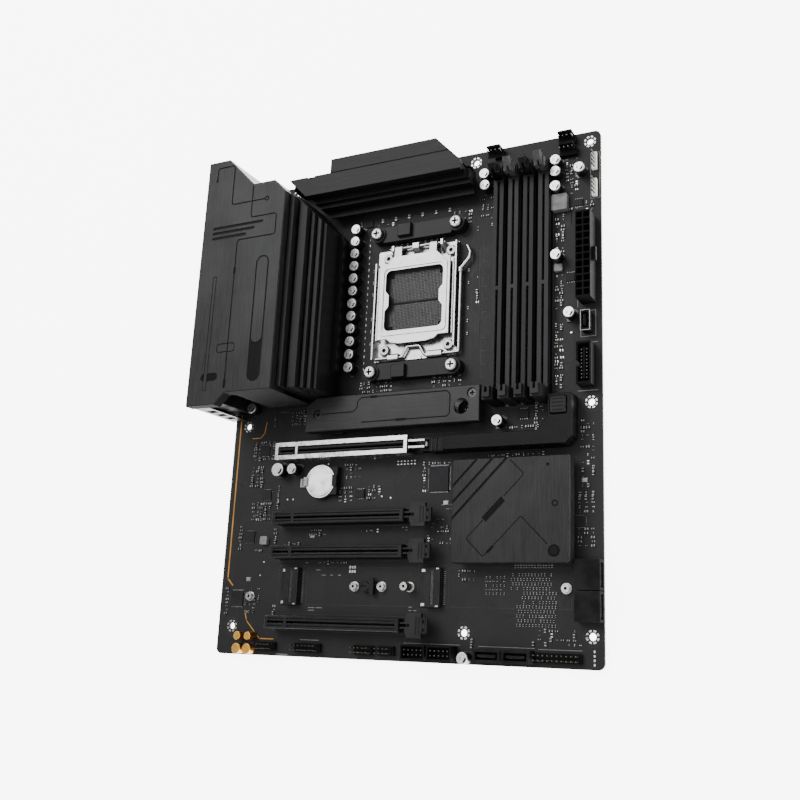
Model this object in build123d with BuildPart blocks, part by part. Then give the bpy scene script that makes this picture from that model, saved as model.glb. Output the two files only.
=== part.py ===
"""ATX computer motherboard with its heatsinks, covers, slots, sockets, latches and connectors.

Every sketch on the board is drawn in board coordinates: X from the rear (I/O) edge to the front
edge, Y from the bottom edge to the top (processor) edge, and Z up from the underside of the
circuit board.  The part's own origin is the axis of the rear lower mounting hole.
"""
from build123d import *
import os

os.makedirs("parts", exist_ok=True)

# ---------------------------------------------------------------- driving dimensions (mm)
board_x, board_y, board_t = 243.84, 304.8, 1.6      # full-size ATX board
board_corner = 3.6
atx_hole_r = 1.98
row_rear, row_mid, row_front = 10.16, 165.10, 237.49
row_low, row_centre, row_top = 16.51, 140.97, 298.45
top_rear_x = 33.02                                  # the top row's rear hole is set inboard
datum_x, datum_y = row_rear, row_low

socket_x, socket_y = 128.6, 212.4                   # middle of the processor socket
cooler_dx, cooler_dy = 54.0, 90.0                   # cooler screw rectangle
frame_dx, frame_dy = 42.8, 59.8                     # socket frame screw rectangle
hinge_y, hinge_z = socket_y + 34.6, 5.5             # load plate hinge
lever_y, lever_z = socket_y - 35.9, 5.0             # load lever pivot
rod_r = 1.0

slot_key_x = 55.96                                  # the key of every expansion slot
slot_ys = [19.56, 60.2, 80.52, 121.16]
slot_len, slot_w, slot_h = 89.0, 7.5, 11.25
slot_x0 = slot_key_x - 14.5

dimm_xs = [183.3, 192.7, 202.1, 211.5]
dimm_y0, dimm_y1 = 142.0, 287.6
dimm_w, dimm_h, dimm_tower_h = 6.4, 7.5, 21.0
dimm_pivot_y, dimm_pivot_z = 283.6, 5.0

cover_top = 50.0                                    # top of the rear cover above the board underside
left_sink_cut = 337.0                               # X + Y of the mitred end of the rear heatsink
top_sink_cut = 341.0                                # X + Y of the mitred end of the top heatsink

io_y0, io_y1 = 145.4, 304.2                         # rear connector bay
io_z0, io_z1 = -2.2, 42.2
shield_x, shield_t = -1.8, 0.8

top = board_t
through = 60.0                                      # longer than any part, for cuts right through


# ---------------------------------------------------------------- planes and small helpers
def board(height=0.0):
    """Horizontal plane at a height above the board's underside, in board coordinates."""
    return Plane(origin=(-datum_x, -datum_y, height))


def across(x):
    """Upright plane at board X: local x is board Y, local y is height, normal +X."""
    return Plane(origin=(x - datum_x, -datum_y, 0), x_dir=(0, 1, 0), z_dir=(1, 0, 0))


def along(y):
    """Upright plane at board Y: local x is board X, local y is height, normal -Y."""
    return Plane(origin=(-datum_x, y - datum_y, 0), x_dir=(1, 0, 0), z_dir=(0, -1, 0))


def rectangle(x0, y0, x1, y1, mode=Mode.ADD):
    """A rectangle between two corners of the current sketch."""
    with Locations(((x0 + x1) / 2, (y0 + y1) / 2)):
        Rectangle(x1 - x0, y1 - y0, mode=mode)


def rounded(x0, y0, x1, y1, r, mode=Mode.ADD):
    """A rounded rectangle between two corners of the current sketch."""
    with Locations(((x0 + x1) / 2, (y0 + y1) / 2)):
        RectangleRounded(x1 - x0, y1 - y0, r, mode=mode)


def outline(*points):
    """A closed polygon in the current sketch."""
    with BuildLine() as edge:
        Polyline(*points, close=True)
    make_face(edge.edges())


def box(x0, y0, z0, x1, y1, z1, mode=Mode.ADD):
    """A block between two corners, in board coordinates."""
    with BuildSketch(board(z0)) as base:
        rectangle(x0, y0, x1, y1)
    extrude(base.sketch, amount=z1 - z0, mode=mode)


def groove(height, depth, width, points, radius=2.0):
    """Engraves a line of the given width, with rounded corners, into a horizontal face."""
    with BuildSketch(board(height)) as line:
        with BuildLine():
            if len(points) > 2:
                FilletPolyline(*points, radius=radius)
            else:
                Polyline(*points)
        trace(line_width=width)
    extrude(line.sketch, amount=-depth, mode=Mode.SUBTRACT)


def pocket(height, depth, x0, y0, x1, y1, r):
    """Sinks a rounded pocket into a horizontal face."""
    with BuildSketch(board(height)) as shape:
        rounded(x0, y0, x1, y1, r)
    extrude(shape.sketch, amount=-depth, mode=Mode.SUBTRACT)


def write(piece, name):
    """Labels a finished piece and writes its STEP file."""
    piece.part.label = name
    export_step(piece.part, f"parts/{name}.step")


def corners(x, y, dx, dy):
    """The four corners of a rectangle about a centre."""
    return [(x + sx * dx / 2, y + sy * dy / 2) for sx in (-1, 1) for sy in (-1, 1)]


atx_holes = [(row_rear, row_low), (row_rear, row_centre), (top_rear_x, row_top),
             (row_mid, row_low), (row_mid, row_centre), (row_mid, row_top),
             (row_front, row_low), (row_front, row_centre), (row_front, row_top)]
cooler_holes = corners(socket_x + 0.3, socket_y, cooler_dx, cooler_dy)
frame_holes = corners(socket_x + 1.2, socket_y - 0.7, frame_dx, frame_dy)

# ---------------------------------------------------------------- circuit board
cooler_hole_r = 2.6
frame_hole_r = 1.7
with BuildPart() as pcb:
    with BuildSketch(board()):
        rounded(0, 0, board_x, board_y, board_corner)
        with Locations(*atx_holes):
            Circle(atx_hole_r, mode=Mode.SUBTRACT)
        with Locations(*cooler_holes):
            Circle(cooler_hole_r, mode=Mode.SUBTRACT)
        with Locations(*frame_holes):
            Circle(frame_hole_r, mode=Mode.SUBTRACT)
    extrude(amount=board_t)
write(pcb, "circuit_board")

# ---------------------------------------------------------------- processor socket
plate_t = 2.0
post_r, post_bore_r = 2.4, 1.6
with BuildPart() as cooler_backplate:
    with BuildSketch(board(-plate_t)):
        rounded(socket_x - 33, socket_y - 51, socket_x + 33.6, socket_y + 51, 6)
        rounded(socket_x - 40, socket_y - 18, socket_x + 40, socket_y + 18, 5)
    extrude(amount=plate_t)
    with BuildSketch(board()):
        with Locations(*cooler_holes):
            Circle(post_r)
    extrude(amount=board_t)
    with BuildSketch(board(-plate_t)):
        with Locations(*cooler_holes):
            Circle(post_bore_r)
        with Locations(*frame_holes):
            Circle(1.25)
    extrude(amount=plate_t + board_t, mode=Mode.SUBTRACT)
write(cooler_backplate, "cooler_backplate")

body_half, well_half = 22.2, 19.6
with BuildPart() as socket_body:
    with BuildSketch(board(top)):
        rounded(socket_x - body_half, socket_y - body_half, socket_x + body_half, socket_y + body_half, 1.5)
    extrude(amount=3.4)
    pocket(top + 3.4, 1.0, socket_x - well_half, socket_y - well_half,
           socket_x + well_half, socket_y + well_half, 2.0)
write(socket_body, "socket_body")

frame_x0, frame_x1 = socket_x - 28.0, socket_x + 27.4
frame_y0, frame_y1 = socket_y - 37.2, socket_y + 35.2
frame_base_t = 1.2
frame_top = top + frame_base_t
with BuildPart() as socket_frame:
    with BuildSketch(board(top)):
        rounded(frame_x0, frame_y0, frame_x1, frame_y1, 1.0)
        rectangle(socket_x - 22.8, socket_y - 22.8, socket_x + 22.8, socket_y + 22.8, Mode.SUBTRACT)
        with Locations(*frame_holes):
            Circle(frame_hole_r, mode=Mode.SUBTRACT)
    extrude(amount=frame_base_t)
    # folded side rails
    box(frame_x0, frame_y0 + 1, frame_top, frame_x0 + 0.9, frame_y1 - 9, top + 5.4)
    box(frame_x0 + 1.9, frame_y0 + 13, frame_top, frame_x0 + 2.7, frame_y1 - 12, top + 4.4)
    box(frame_x1 - 0.9, frame_y0 + 5, frame_top, frame_x1, frame_y1 - 1, top + 5.4)
    box(frame_x1 - 2.8, frame_y0 + 13, frame_top, frame_x1 - 2.0, frame_y1 - 12, top + 4.4)
    # raised seats round the four screws
    with BuildSketch(board(frame_top)):
        with Locations(*frame_holes):
            Circle(3.6)
            Circle(frame_hole_r, mode=Mode.SUBTRACT)
    extrude(amount=0.7)
    # lugs that carry the lever's cross rod
    for x0, x1 in ((frame_x0 + 11.4, frame_x0 + 18.4), (frame_x1 - 18.0, frame_x1 - 8.0)):
        with BuildSketch(across(x0)):
            outline((frame_y0, frame_top), (lever_y + 2.1, frame_top), (lever_y + 2.1, lever_z + 1.2),
                    (lever_y + 1.2, lever_z + 2.1), (lever_y - 1.2, lever_z + 2.1),
                    (lever_y - 2.2, lever_z + 1.2), (lever_y - 2.2, lever_z - 1.2))
            with Locations((lever_y, lever_z)):
                Circle(rod_r + 0.3, mode=Mode.SUBTRACT)
        extrude(amount=x1 - x0)
    # front tongue below the crank
    box(socket_x - 4.6, frame_y0 - 0.3, frame_top, socket_x + 4.4, lever_y + 0.6, frame_top + 0.7)
    # hinge cheeks and the middle post
    for x0, x1 in ((socket_x - 16.8, socket_x - 15.2), (socket_x - 2.4, socket_x + 1.8),
                   (socket_x + 16.6, socket_x + 18.2)):
        with BuildSketch(across(x0)):
            outline((hinge_y - 6.5, frame_top), (hinge_y + 0.6, frame_top), (hinge_y + 2.2, hinge_z),
                    (hinge_y + 1.6, hinge_z + 2.0), (hinge_y - 1.8, hinge_z + 2.0))
            with Locations((hinge_y, hinge_z)):
                Circle(rod_r + 0.3, mode=Mode.SUBTRACT)
        extrude(amount=x1 - x0)
write(socket_frame, "socket_frame")

seat_top = frame_top + 0.7
frame_head_r, frame_head_h, frame_shank_r = 3.1, 1.5, 1.15
with BuildPart() as socket_frame_screws:
    with BuildSketch(board(seat_top)):
        with Locations(*frame_holes):
            Circle(frame_head_r)
    extrude(amount=frame_head_h)
    fillet(socket_frame_screws.edges().filter_by(GeomType.CIRCLE).group_by(Axis.Z)[-1], 0.5)
    with BuildSketch(board(seat_top + frame_head_h)):
        with Locations(*frame_holes):
            RegularPolygon(1.45, 6)
    extrude(amount=-1.0, mode=Mode.SUBTRACT)
    with BuildSketch(board(-plate_t)):
        with Locations(*frame_holes):
            Circle(frame_shank_r)
    extrude(amount=plate_t + seat_top)
write(socket_frame_screws, "socket_frame_screws")

# load plate: a pressed ring with a window for the processor, hinged at the top
window_half_x, window_half_y = 19.4, 19.5
plate_z, plate_thick = top + 5.4, 1.2
plate_bottom = socket_y - 28.0
with BuildPart() as load_plate:
    with BuildSketch(board(plate_z)):
        outline((socket_x - 23.8, socket_y - 24.6), (socket_x - 17.2, socket_y - 24.6),
                (socket_x - 14.6, plate_bottom + 1.2), (socket_x - 9.0, plate_bottom),
                (socket_x + 9.0, plate_bottom), (socket_x + 14.6, plate_bottom + 1.2),
                (socket_x + 17.2, socket_y - 24.6), (socket_x + 23.9, socket_y - 24.6),
                (socket_x + 23.9, socket_y + 24.4), (socket_x + 19.0, socket_y + 24.4),
                (socket_x + 14.6, socket_y + 28.4), (socket_x - 14.6, socket_y + 28.4),
                (socket_x - 18.4, socket_y + 24.4), (socket_x - 23.8, socket_y + 24.4))
        rounded(socket_x - window_half_x, socket_y - window_half_y, socket_x + window_half_x,
                socket_y + window_half_y, 3.4, Mode.SUBTRACT)
        for side in (-1, 1):
            edge = socket_x + side * window_half_x
            inner = edge - side * 2.4
            outline((edge + side, socket_y - 6.6), (edge, socket_y - 6.6), (inner, socket_y - 3.6),
                    (inner, socket_y + 3.6), (edge, socket_y + 6.6), (edge + side, socket_y + 6.6))
    extrude(amount=plate_thick)
    # raised lip round the window
    with BuildSketch(board(plate_z + plate_thick)):
        rounded(socket_x - 22.2, socket_y - 22.6, socket_x + 22.2, socket_y + 22.6, 3.0)
        rounded(socket_x - 20.6, socket_y - 20.8, socket_x + 20.6, socket_y + 20.8, 3.4, Mode.SUBTRACT)
    extrude(amount=0.5)
    # hinge arms and their knuckles
    for x0, x1 in ((socket_x - 14.4, socket_x - 9.6), (socket_x + 9.4, socket_x + 14.2)):
        with BuildSketch(across(x0)):
            outline((socket_y + 26, plate_z), (socket_y + 26, plate_z + plate_thick),
                    (hinge_y, hinge_z + 1.9), (hinge_y, hinge_z))
            with Locations((hinge_y, hinge_z)):
                Circle(1.9)
        extrude(amount=x1 - x0)
    with BuildSketch(across(socket_x - 18.6)):
        with Locations((hinge_y, hinge_z)):
            Circle(rod_r)
    extrude(amount=37.8)
write(load_plate, "load_plate")

# load lever: a bent rod, its crank between the lugs and its handle kinked outward
lever_x = socket_x + 29.7
crank_y = lever_y + 6.2
with BuildPart() as load_lever:
    with BuildLine(board(lever_z)) as lever_path:
        FilletPolyline((frame_x0 + 2.4, lever_y), (socket_x - 7.9, lever_y), (socket_x - 4.4, crank_y),
                       (socket_x + 4.0, crank_y), (socket_x + 7.6, lever_y), (lever_x, lever_y),
                       (lever_x, socket_y + 16.6), (socket_x + 35.2, socket_y + 22.8),
                       (socket_x + 35.6, socket_y + 26.2), (socket_x + 33.6, socket_y + 30.4), radius=1.5)
    with BuildSketch(Plane(origin=lever_path.line @ 0, z_dir=lever_path.line % 0)):
        Circle(rod_r)
    sweep(path=lever_path.line)
    with BuildSketch(along(socket_y + 16.4)):
        with Locations((lever_x, lever_z)):
            Circle(1.8)
    extrude(amount=2.6)
write(load_lever, "load_lever")

# cooler brackets: plastic bars with a screw boss at each end and a clip tab in the middle
bracket_bar_top, bracket_boss_top = top + 5.8, top + 6.8
for name, side in (("cooler_bracket_lower", -1), ("cooler_bracket_upper", 1)):
    bar_y = socket_y + side * cooler_dy / 2
    inner_y = bar_y - side * 5.6
    outer_y = bar_y + side * 4.6
    ends = [(socket_x + 0.3 - cooler_dx / 2, bar_y), (socket_x + 0.3 + cooler_dx / 2, bar_y)]
    with BuildPart() as bracket:
        with BuildSketch(board(top)):
            outline((ends[0][0], outer_y), (ends[1][0], outer_y), (ends[1][0] - 4, inner_y),
                    (ends[0][0] + 4, inner_y))
            with Locations(*ends):
                Circle(5.2)
        extrude(amount=bracket_bar_top - top)
        with BuildSketch(board(bracket_bar_top)):
            with Locations(*ends):
                Circle(5.2)
        extrude(amount=bracket_boss_top - bracket_bar_top)
        with BuildSketch(board(bracket_bar_top)):
            rectangle(socket_x - 12.4, min(bar_y - 3.6 * side, outer_y), socket_x - 3.2,
                      max(bar_y - 3.6 * side, outer_y))
        extrude(amount=2.6)
        box(socket_x - 11.4, min(bar_y + 1.4 * side, outer_y + side), bracket_bar_top - 2.6, socket_x - 4.2,
            max(bar_y + 1.4 * side, outer_y + side), bracket_bar_top + 0.9, Mode.SUBTRACT)
        with BuildSketch(board(top)):
            with Locations(*ends):
                Circle(2.5)
        extrude(amount=bracket_boss_top - top, mode=Mode.SUBTRACT)
        fillet(bracket.edges().group_by(Axis.Z)[-1], 0.5)
    write(bracket, name)

cooler_head_r, cooler_head_h, cooler_shank_r = 3.9, 2.5, 1.5
with BuildPart() as cooler_screws:
    with BuildSketch(board(bracket_boss_top)):
        with Locations(*cooler_holes):
            Circle(cooler_head_r)
    extrude(amount=cooler_head_h)
    fillet(cooler_screws.edges().group_by(Axis.Z)[-1], 0.9)
    with BuildSketch(board(bracket_boss_top + cooler_head_h)):
        with Locations(*cooler_holes):
            Rectangle(4.2, 1.1)
            Rectangle(1.1, 4.2)
    extrude(amount=-1.6, mode=Mode.SUBTRACT)
    with BuildSketch(board(-plate_t + 0.3)):
        with Locations(*cooler_holes):
            Circle(cooler_shank_r)
    extrude(amount=bracket_boss_top + plate_t - 0.3)
write(cooler_screws, "cooler_screws")

# ---------------------------------------------------------------- power stage
choke_h, choke_side = 7.0, 9.6
left_choke_x, top_choke_y = 66.5, 284.0
left_chokes = [(left_choke_x, 168.0 + 10.6 * i) for i in range(9)]
top_chokes = [(88.0 + 10.6 * i, top_choke_y) for i in range(7)]
# open inductors: middle X, middle Y, size X, size Y, height
coils = [(219.8, 261.2, 9.4, 10.0, 4.0), (218.8, 221.1, 5.0, 4.4, 2.4), (30.0, 68.0, 5.0, 5.0, 2.6)]
with BuildPart() as chokes:
    with BuildSketch(board(top)):
        with Locations(*left_chokes, *top_chokes):
            Rectangle(choke_side, choke_side)
    extrude(amount=choke_h)
    for x, y, sx, sy, height in coils:
        box(x - sx / 2, y - sy / 2, top, x + sx / 2, y + sy / 2, top + height)
    chamfer(chokes.edges().filter_by(Axis.Z), 0.6)
write(chokes, "chokes")

stage_h = 0.9
left_stages = [(49.0, y) for _, y in left_chokes]
top_stages = [(x, 297.0) for x, _ in top_chokes]
pad_t = 1.1
sink_low, sink_over_chokes = top + stage_h + pad_t, top + choke_h + pad_t
with BuildPart() as thermal_pads:
    box(46.0, 163.0, top + stage_h, 52.0, 258.0, sink_low)
    box(62.0, 163.0, top + choke_h, 71.0, 258.0, sink_over_chokes)
    box(84.0, 294.0, top + stage_h, 152.0, 300.0, sink_low)
    box(84.0, 279.6, top + choke_h, 156.0, 288.4, sink_over_chokes)
write(thermal_pads, "thermal_pads")

# rear heatsink: an extruded bar with fins that step down toward the socket
left_y0 = 153.4
fins = [(59.8, 62.9, 44.9), (64.3, 69.9, 40.6), (71.1, 73.2, 37.1), (74.1, 76.7, 34.6),
        (77.2, 79.1, 32.1)]
with BuildPart() as vrm_heatsink_rear:
    with BuildSketch(along(left_y0)):
        outline((42.0, sink_low), (56.0, sink_low), (56.0, sink_over_chokes), (81.6, sink_over_chokes),
                (81.6, 15.8), (79.1, 15.8), (79.1, 24.0), (59.8, 24.0), (59.8, 34.0), (42.0, 34.0))
        for x0, x1, height in fins:
            rectangle(x0, 23.0, x1, height)
        for x in (45.0, 49.0, 53.0, 57.0):
            rectangle(x, 22.0, x + 1.6, 34.5, Mode.SUBTRACT)
    extrude(amount=-130)
    # mitred end, parallel to the top heatsink's
    with BuildSketch(board(0)):
        outline((left_sink_cut - 285.0, 285.0), (left_sink_cut - 225.0, 225.0), (left_sink_cut - 190.0, 300.0),
                (40.0, 300.0), (40.0, 285.0))
    extrude(amount=through, mode=Mode.SUBTRACT)
    # the foot ledge starts behind the lower end
    with BuildSketch(board(0)):
        outline((79.1, left_y0 - 1), (82.5, left_y0 - 1), (82.5, 170.0), (79.1, 166.6))
    extrude(amount=16.0, mode=Mode.SUBTRACT)
write(vrm_heatsink_rear, "vrm_heatsink_rear")

top_y1 = 304.3
top_front = 281.9
with BuildPart() as vrm_heatsink_top:
    with BuildSketch(across(47.0)):
        outline((top_y1, 25.0), (top_y1, 28.5), (top_front, 28.5), (top_front, 24.6), (283.4, 24.6),
                (283.4, 20.6), (279.4, 20.6), (279.4, 18.4), (281.0, 18.4), (281.0, 17.6), (277.0, 17.6),
                (277.0, 11.1), (272.9, 11.1), (272.9, sink_over_chokes), (290.6, sink_over_chokes),
                (290.6, sink_low), (302.6, sink_low), (302.6, 9.0), (295.4, 9.0), (295.4, 25.0))
        for y in (285.6, 289.4):
            rectangle(y, 14.0, y + 1.5, 24.0, Mode.SUBTRACT)
    extrude(amount=121.4)
    # mitred left end
    with BuildSketch(board(0)):
        outline((40.0, top_sink_cut - 40.0), (40.0, 262.0), (top_sink_cut - 262.0, 262.0))
    extrude(amount=through, mode=Mode.SUBTRACT)
    # the back left corner leaves room for the processor power connectors
    box(40.0, 295.0, 0, 76.6, 306.0, 30, Mode.SUBTRACT)
    box(40.0, 289.5, 0, 76.6, 296.0, 15.0, Mode.SUBTRACT)
    box(59.6, 293.8, 14, 65.0, 296.0, 30, Mode.SUBTRACT)
    # bevelled right end, clear of the mounting hole beside it
    with BuildSketch(board(0)):
        outline((149.2, 305.0), (166.1, 287.5), (172.0, 287.5), (172.0, 305.0))
    extrude(amount=through, mode=Mode.SUBTRACT)
    box(166.1, 270.0, 19.0, 172.0, 288.0, 30.0, Mode.SUBTRACT)
    # a joint line along the top
    groove(28.5, 0.5, 0.7, [(77.4, 294.9), (158.2, 294.9)])
write(vrm_heatsink_top, "vrm_heatsink_top")

# ---------------------------------------------------------------- rear connector bay
# each stack: middle Y, width, height, depth
usb_stacks = [(206.0, 14.6, 31.0, 17.6), (225.4, 14.6, 31.0, 17.6), (244.8, 14.6, 16.4, 17.6)]
lan = (186.6, 16.4, 29.0, 23.0)
video = (288.0, 17.4, 25.0, 18.0)
audio = (155.4, 13.0, 36.3, 13.2)
antenna = (170.8, 12.0, 26.0, 10.0)
buttons = (266.0, 13.0, 26.0, 9.0)
face_x = shield_x - 0.1


def stack_body(stack, x_face=face_x):
    """The solid housing of a connector stack, standing on the board."""
    y, width, height, depth = stack
    box(0.2, y - width / 2, top, depth, y + width / 2, top + height)
    with BuildSketch(across(x_face)) as shell:
        rectangle(y - width / 2, top + 0.4, y + width / 2, top + height)
    extrude(shell.sketch, amount=0.2 - x_face)


def usb_a_port(y, z):
    """One USB-A opening, 13.1 x 5.6, with its tongue."""
    with BuildSketch(across(face_x)) as mouth:
        rectangle(y - 6.55, z - 2.8, y + 6.55, z + 2.8)
        rectangle(y - 5.6, z - 0.1, y + 5.6, z + 1.7, Mode.SUBTRACT)
    extrude(mouth.sketch, amount=9.4, mode=Mode.SUBTRACT)


with BuildPart() as rear_ports:
    for stack in usb_stacks:
        stack_body(stack)
    stack_body(video)
    for y, _, height, _ in usb_stacks:
        rows = 4 if height > 20 else 2
        for i in range(rows):
            usb_a_port(y, top + 4.4 + 7.5 * i)
    with BuildSketch(across(face_x)):
        # display outlet with its two chamfered lower corners, over an oval one
        outline((video[0] - 7.2, 22.6), (video[0] + 7.2, 22.6), (video[0] + 7.2, 19.4),
                (video[0] + 5.6, 17.8), (video[0] - 5.6, 17.8), (video[0] - 7.2, 19.4))
        rounded(video[0] - 4.5, 6.4, video[0] + 4.5, 9.6, 1.5)
        rectangle(video[0] - 3.5, 7.6, video[0] + 3.5, 8.4, Mode.SUBTRACT)
        rectangle(video[0] - 5.4, 20.0, video[0] + 5.4, 21.2, Mode.SUBTRACT)
    extrude(amount=8.0, mode=Mode.SUBTRACT)
write(rear_ports, "rear_ports")

lan_hole = (lan[0] - 5.9, top + 18.6, lan[0] + 5.9, top + 26.4)
with BuildPart() as network_port:
    stack_body(lan)
    for i in range(2):
        usb_a_port(lan[0], top + 4.4 + 7.5 * i)
    with BuildSketch(across(face_x)):
        rectangle(*lan_hole)
        rectangle(lan[0] - 3.0, lan_hole[1] - 1.4, lan[0] + 3.0, lan_hole[1])
    extrude(amount=13.5, mode=Mode.SUBTRACT)
write(network_port, "network_port")

# three jack housings stacked on each other, each with its own barrel and plug hole
jack_y, jack_w, jack_stack_h, jack_depth = audio
jack_pitch = jack_stack_h / 3
jack_gap = 0.3
jack_zs = [top + 6.4 + jack_pitch * i for i in range(3)]
jack_x0 = -2.3
barrel_r, plug_r, plug_depth, mouth_chamfer = 4.2, 1.8, 12.0, 0.4
with BuildPart() as audio_jacks:
    for i in range(3):
        z0 = top + jack_pitch * i
        box(0.2, jack_y - jack_w / 2, z0, jack_depth, jack_y + jack_w / 2, z0 + jack_pitch - jack_gap)
    with BuildSketch(across(jack_x0)):
        with Locations(*[(jack_y, z) for z in jack_zs]):
            Circle(barrel_r)
    extrude(amount=0.2 - jack_x0)
    with BuildSketch(across(jack_x0)):
        with Locations(*[(jack_y, z) for z in jack_zs]):
            Circle(plug_r)
    extrude(amount=plug_depth, mode=Mode.SUBTRACT)
    mouths = audio_jacks.edges().filter_by(GeomType.CIRCLE).group_by(Axis.X)[0]
    chamfer(mouths.filter_by(lambda edge: edge.radius < barrel_r), mouth_chamfer)
write(audio_jacks, "audio_jacks")

antenna_zs = [top + 6.4, top + 19.2]
antenna_x0, antenna_r, antenna_bore_r, antenna_pin_r, antenna_bore = -2.6, 3.1, 2.3, 0.45, 5.0
with BuildPart() as antenna_posts:
    y, width, height, depth = antenna
    box(0.2, y - width / 2, top, depth, y + width / 2, top + height)
    with BuildSketch(across(antenna_x0)):
        with Locations(*[(y, z) for z in antenna_zs]):
            Circle(antenna_r)
    extrude(amount=0.2 - antenna_x0)
    with BuildSketch(across(antenna_x0)):
        with Locations(*[(y, z) for z in antenna_zs]):
            Circle(antenna_bore_r)
            Circle(antenna_pin_r, mode=Mode.SUBTRACT)
    extrude(amount=antenna_bore, mode=Mode.SUBTRACT)
write(antenna_posts, "antenna_posts")

button_z = {"bios_button": top + 7.0, "clear_button": top + 18.6}
button_x0, button_len, button_r = -2.4, 5.6, 2.5
button_well_r, button_well = 2.9, 5.2
with BuildPart() as button_block:
    y, width, height, depth = buttons
    box(0.2, y - width / 2, top, depth, y + width / 2, top + height)
    for z in button_z.values():
        with BuildSketch(across(0.2)):
            with Locations((y, z)):
                Circle(button_well_r)
        extrude(amount=button_well, mode=Mode.SUBTRACT)
write(button_block, "rear_button_block")

for name, z in button_z.items():
    with BuildPart() as button:
        with BuildSketch(across(button_x0)):
            with Locations((buttons[0], z)):
                Circle(button_r)
        extrude(amount=button_len)
        fillet(button.edges().group_by(Axis.X)[0], 0.4)
    write(button, name)

# rear shield plate, cut out round every connector, with its lower end folded in
gap = 0.35
with BuildPart() as io_shield:
    with BuildSketch(across(shield_x)):
        rounded(io_y0, io_z0, io_y1, io_z1, 1.2)
        for y, width, height, _ in (*usb_stacks, lan, video):
            rectangle(y - width / 2 - gap, top, y + width / 2 + gap, top + height + gap, Mode.SUBTRACT)
        with Locations(*[(audio[0], z) for z in jack_zs]):
            Circle(barrel_r + gap, mode=Mode.SUBTRACT)
        with Locations(*[(antenna[0], z) for z in antenna_zs]):
            Circle(antenna_r + gap, mode=Mode.SUBTRACT)
        with Locations(*[(buttons[0], z) for z in button_z.values()]):
            Circle(button_r + gap, mode=Mode.SUBTRACT)
    extrude(amount=shield_t)
    # folded lower flange, slotted like a spring finger strip
    box(shield_x, io_y0 - 0.6, 3.0, 9.0, io_y0, io_z1)
    for z in (10.0, 19.0, 28.0):
        box(1.0, io_y0 - 1, z, 7.0, io_y0 + 1, z + 5.0, Mode.SUBTRACT)
    box(shield_x, io_y1 - 0.6, 3.0, 6.0, io_y1, io_z1)
write(io_shield, "io_shield")

# rear cover: a thick plate with folded sides, stepped to clear a mounting hole
cover_points = [(-1.4, 144.0), (19.3, 144.0), (26.0, 150.8), (59.3, 150.8), (59.3, 276.2),
                (50.6, 284.9), (34.9, 284.9), (14.5, 305.3), (-1.4, 305.3)]
inner_points = [(0.4, 145.9), (18.5, 145.9), (25.2, 152.6), (57.5, 152.6), (57.5, 275.5),
                (49.9, 283.1), (34.2, 283.1), (13.8, 303.5), (0.4, 303.5)]
cover_skin = cover_top - 2.4
rim_low = 43.0
with BuildPart() as io_cover:
    with BuildSketch(board(rim_low)):
        outline(*cover_points)
    extrude(amount=cover_top - rim_low)
    chamfer(io_cover.faces().sort_by(Axis.Z)[-1].edges(), 0.5)
    with BuildSketch(board(8.0)):
        outline((30.0, 150.8), (59.3, 150.8), (59.3, 276.2), (50.6, 284.9), (34.9, 284.9), (14.5, 305.3),
                (3.0, 305.3), (3.0, 304.6), (14.2, 304.6), (34.6, 284.2), (50.3, 284.2), (57.5, 277.0),
                (57.5, 152.6), (30.0, 152.6))
    extrude(amount=rim_low - 8.0)
    with BuildSketch(board(rim_low)):
        outline(*inner_points)
    extrude(amount=cover_skin - rim_low, mode=Mode.SUBTRACT)
    # the inner side stands on the heatsink, so it stops above its base
    box(40.0, 151.5, 0, 62.0, 290.0, 35.0, Mode.SUBTRACT)
    # engraved circuit lines
    groove(cover_top, 0.5, 0.8, [(6.2, 291.5), (6.2, 300.2), (19.4, 300.2), (19.4, 273.0), (44.8, 273.0)])
    groove(cover_top, 0.5, 0.8, [(35.0, 283.5), (35.0, 262.0), (54.0, 262.0), (54.0, 248.2), (26.2, 248.2),
                                 (26.2, 229.0)], 2.0)
    groove(cover_top, 0.5, 0.8, [(26.2, 226.2), (26.2, 158.6)])
    with BuildSketch(board(cover_top)):
        with Locations((6.2, 291.5)):
            Circle(0.9)
        with Locations((46.0, 273.0)):
            Circle(1.6)
            Circle(0.8, mode=Mode.SUBTRACT)
        rounded(25.3, 225.6, 27.1, 230.2, 0.85)
        rounded(25.2, 153.2, 27.2, 159.4, 0.95)
        rounded(8.0, 158.6, 20.6, 163.6, 2.45)
        rounded(42.0, 156.0, 51.4, 235.2, 4.65)
        rounded(42.9, 180.2, 50.5, 234.3, 3.75, Mode.SUBTRACT)
        rounded(18.0, 175.8, 31.4, 181.6, 2.0)
        rounded(18.6, 176.4, 30.8, 181.0, 1.6, Mode.SUBTRACT)
        rounded(10.3, 152.6, 13.1, 225.8, 0.4)
        rounded(10.8, 153.1, 12.6, 225.3, 0.3, Mode.SUBTRACT)
    extrude(amount=-0.5, mode=Mode.SUBTRACT)
    # three plain bars where a badge would sit
    for i, length in enumerate((38.0, 32.0, 26.0)):
        pocket(cover_top, 0.5, 6.5, 257.4 - 3.4 * i, 6.5 + length, 259.2 - 3.4 * i, 0.85)
write(io_cover, "io_cover")

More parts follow.
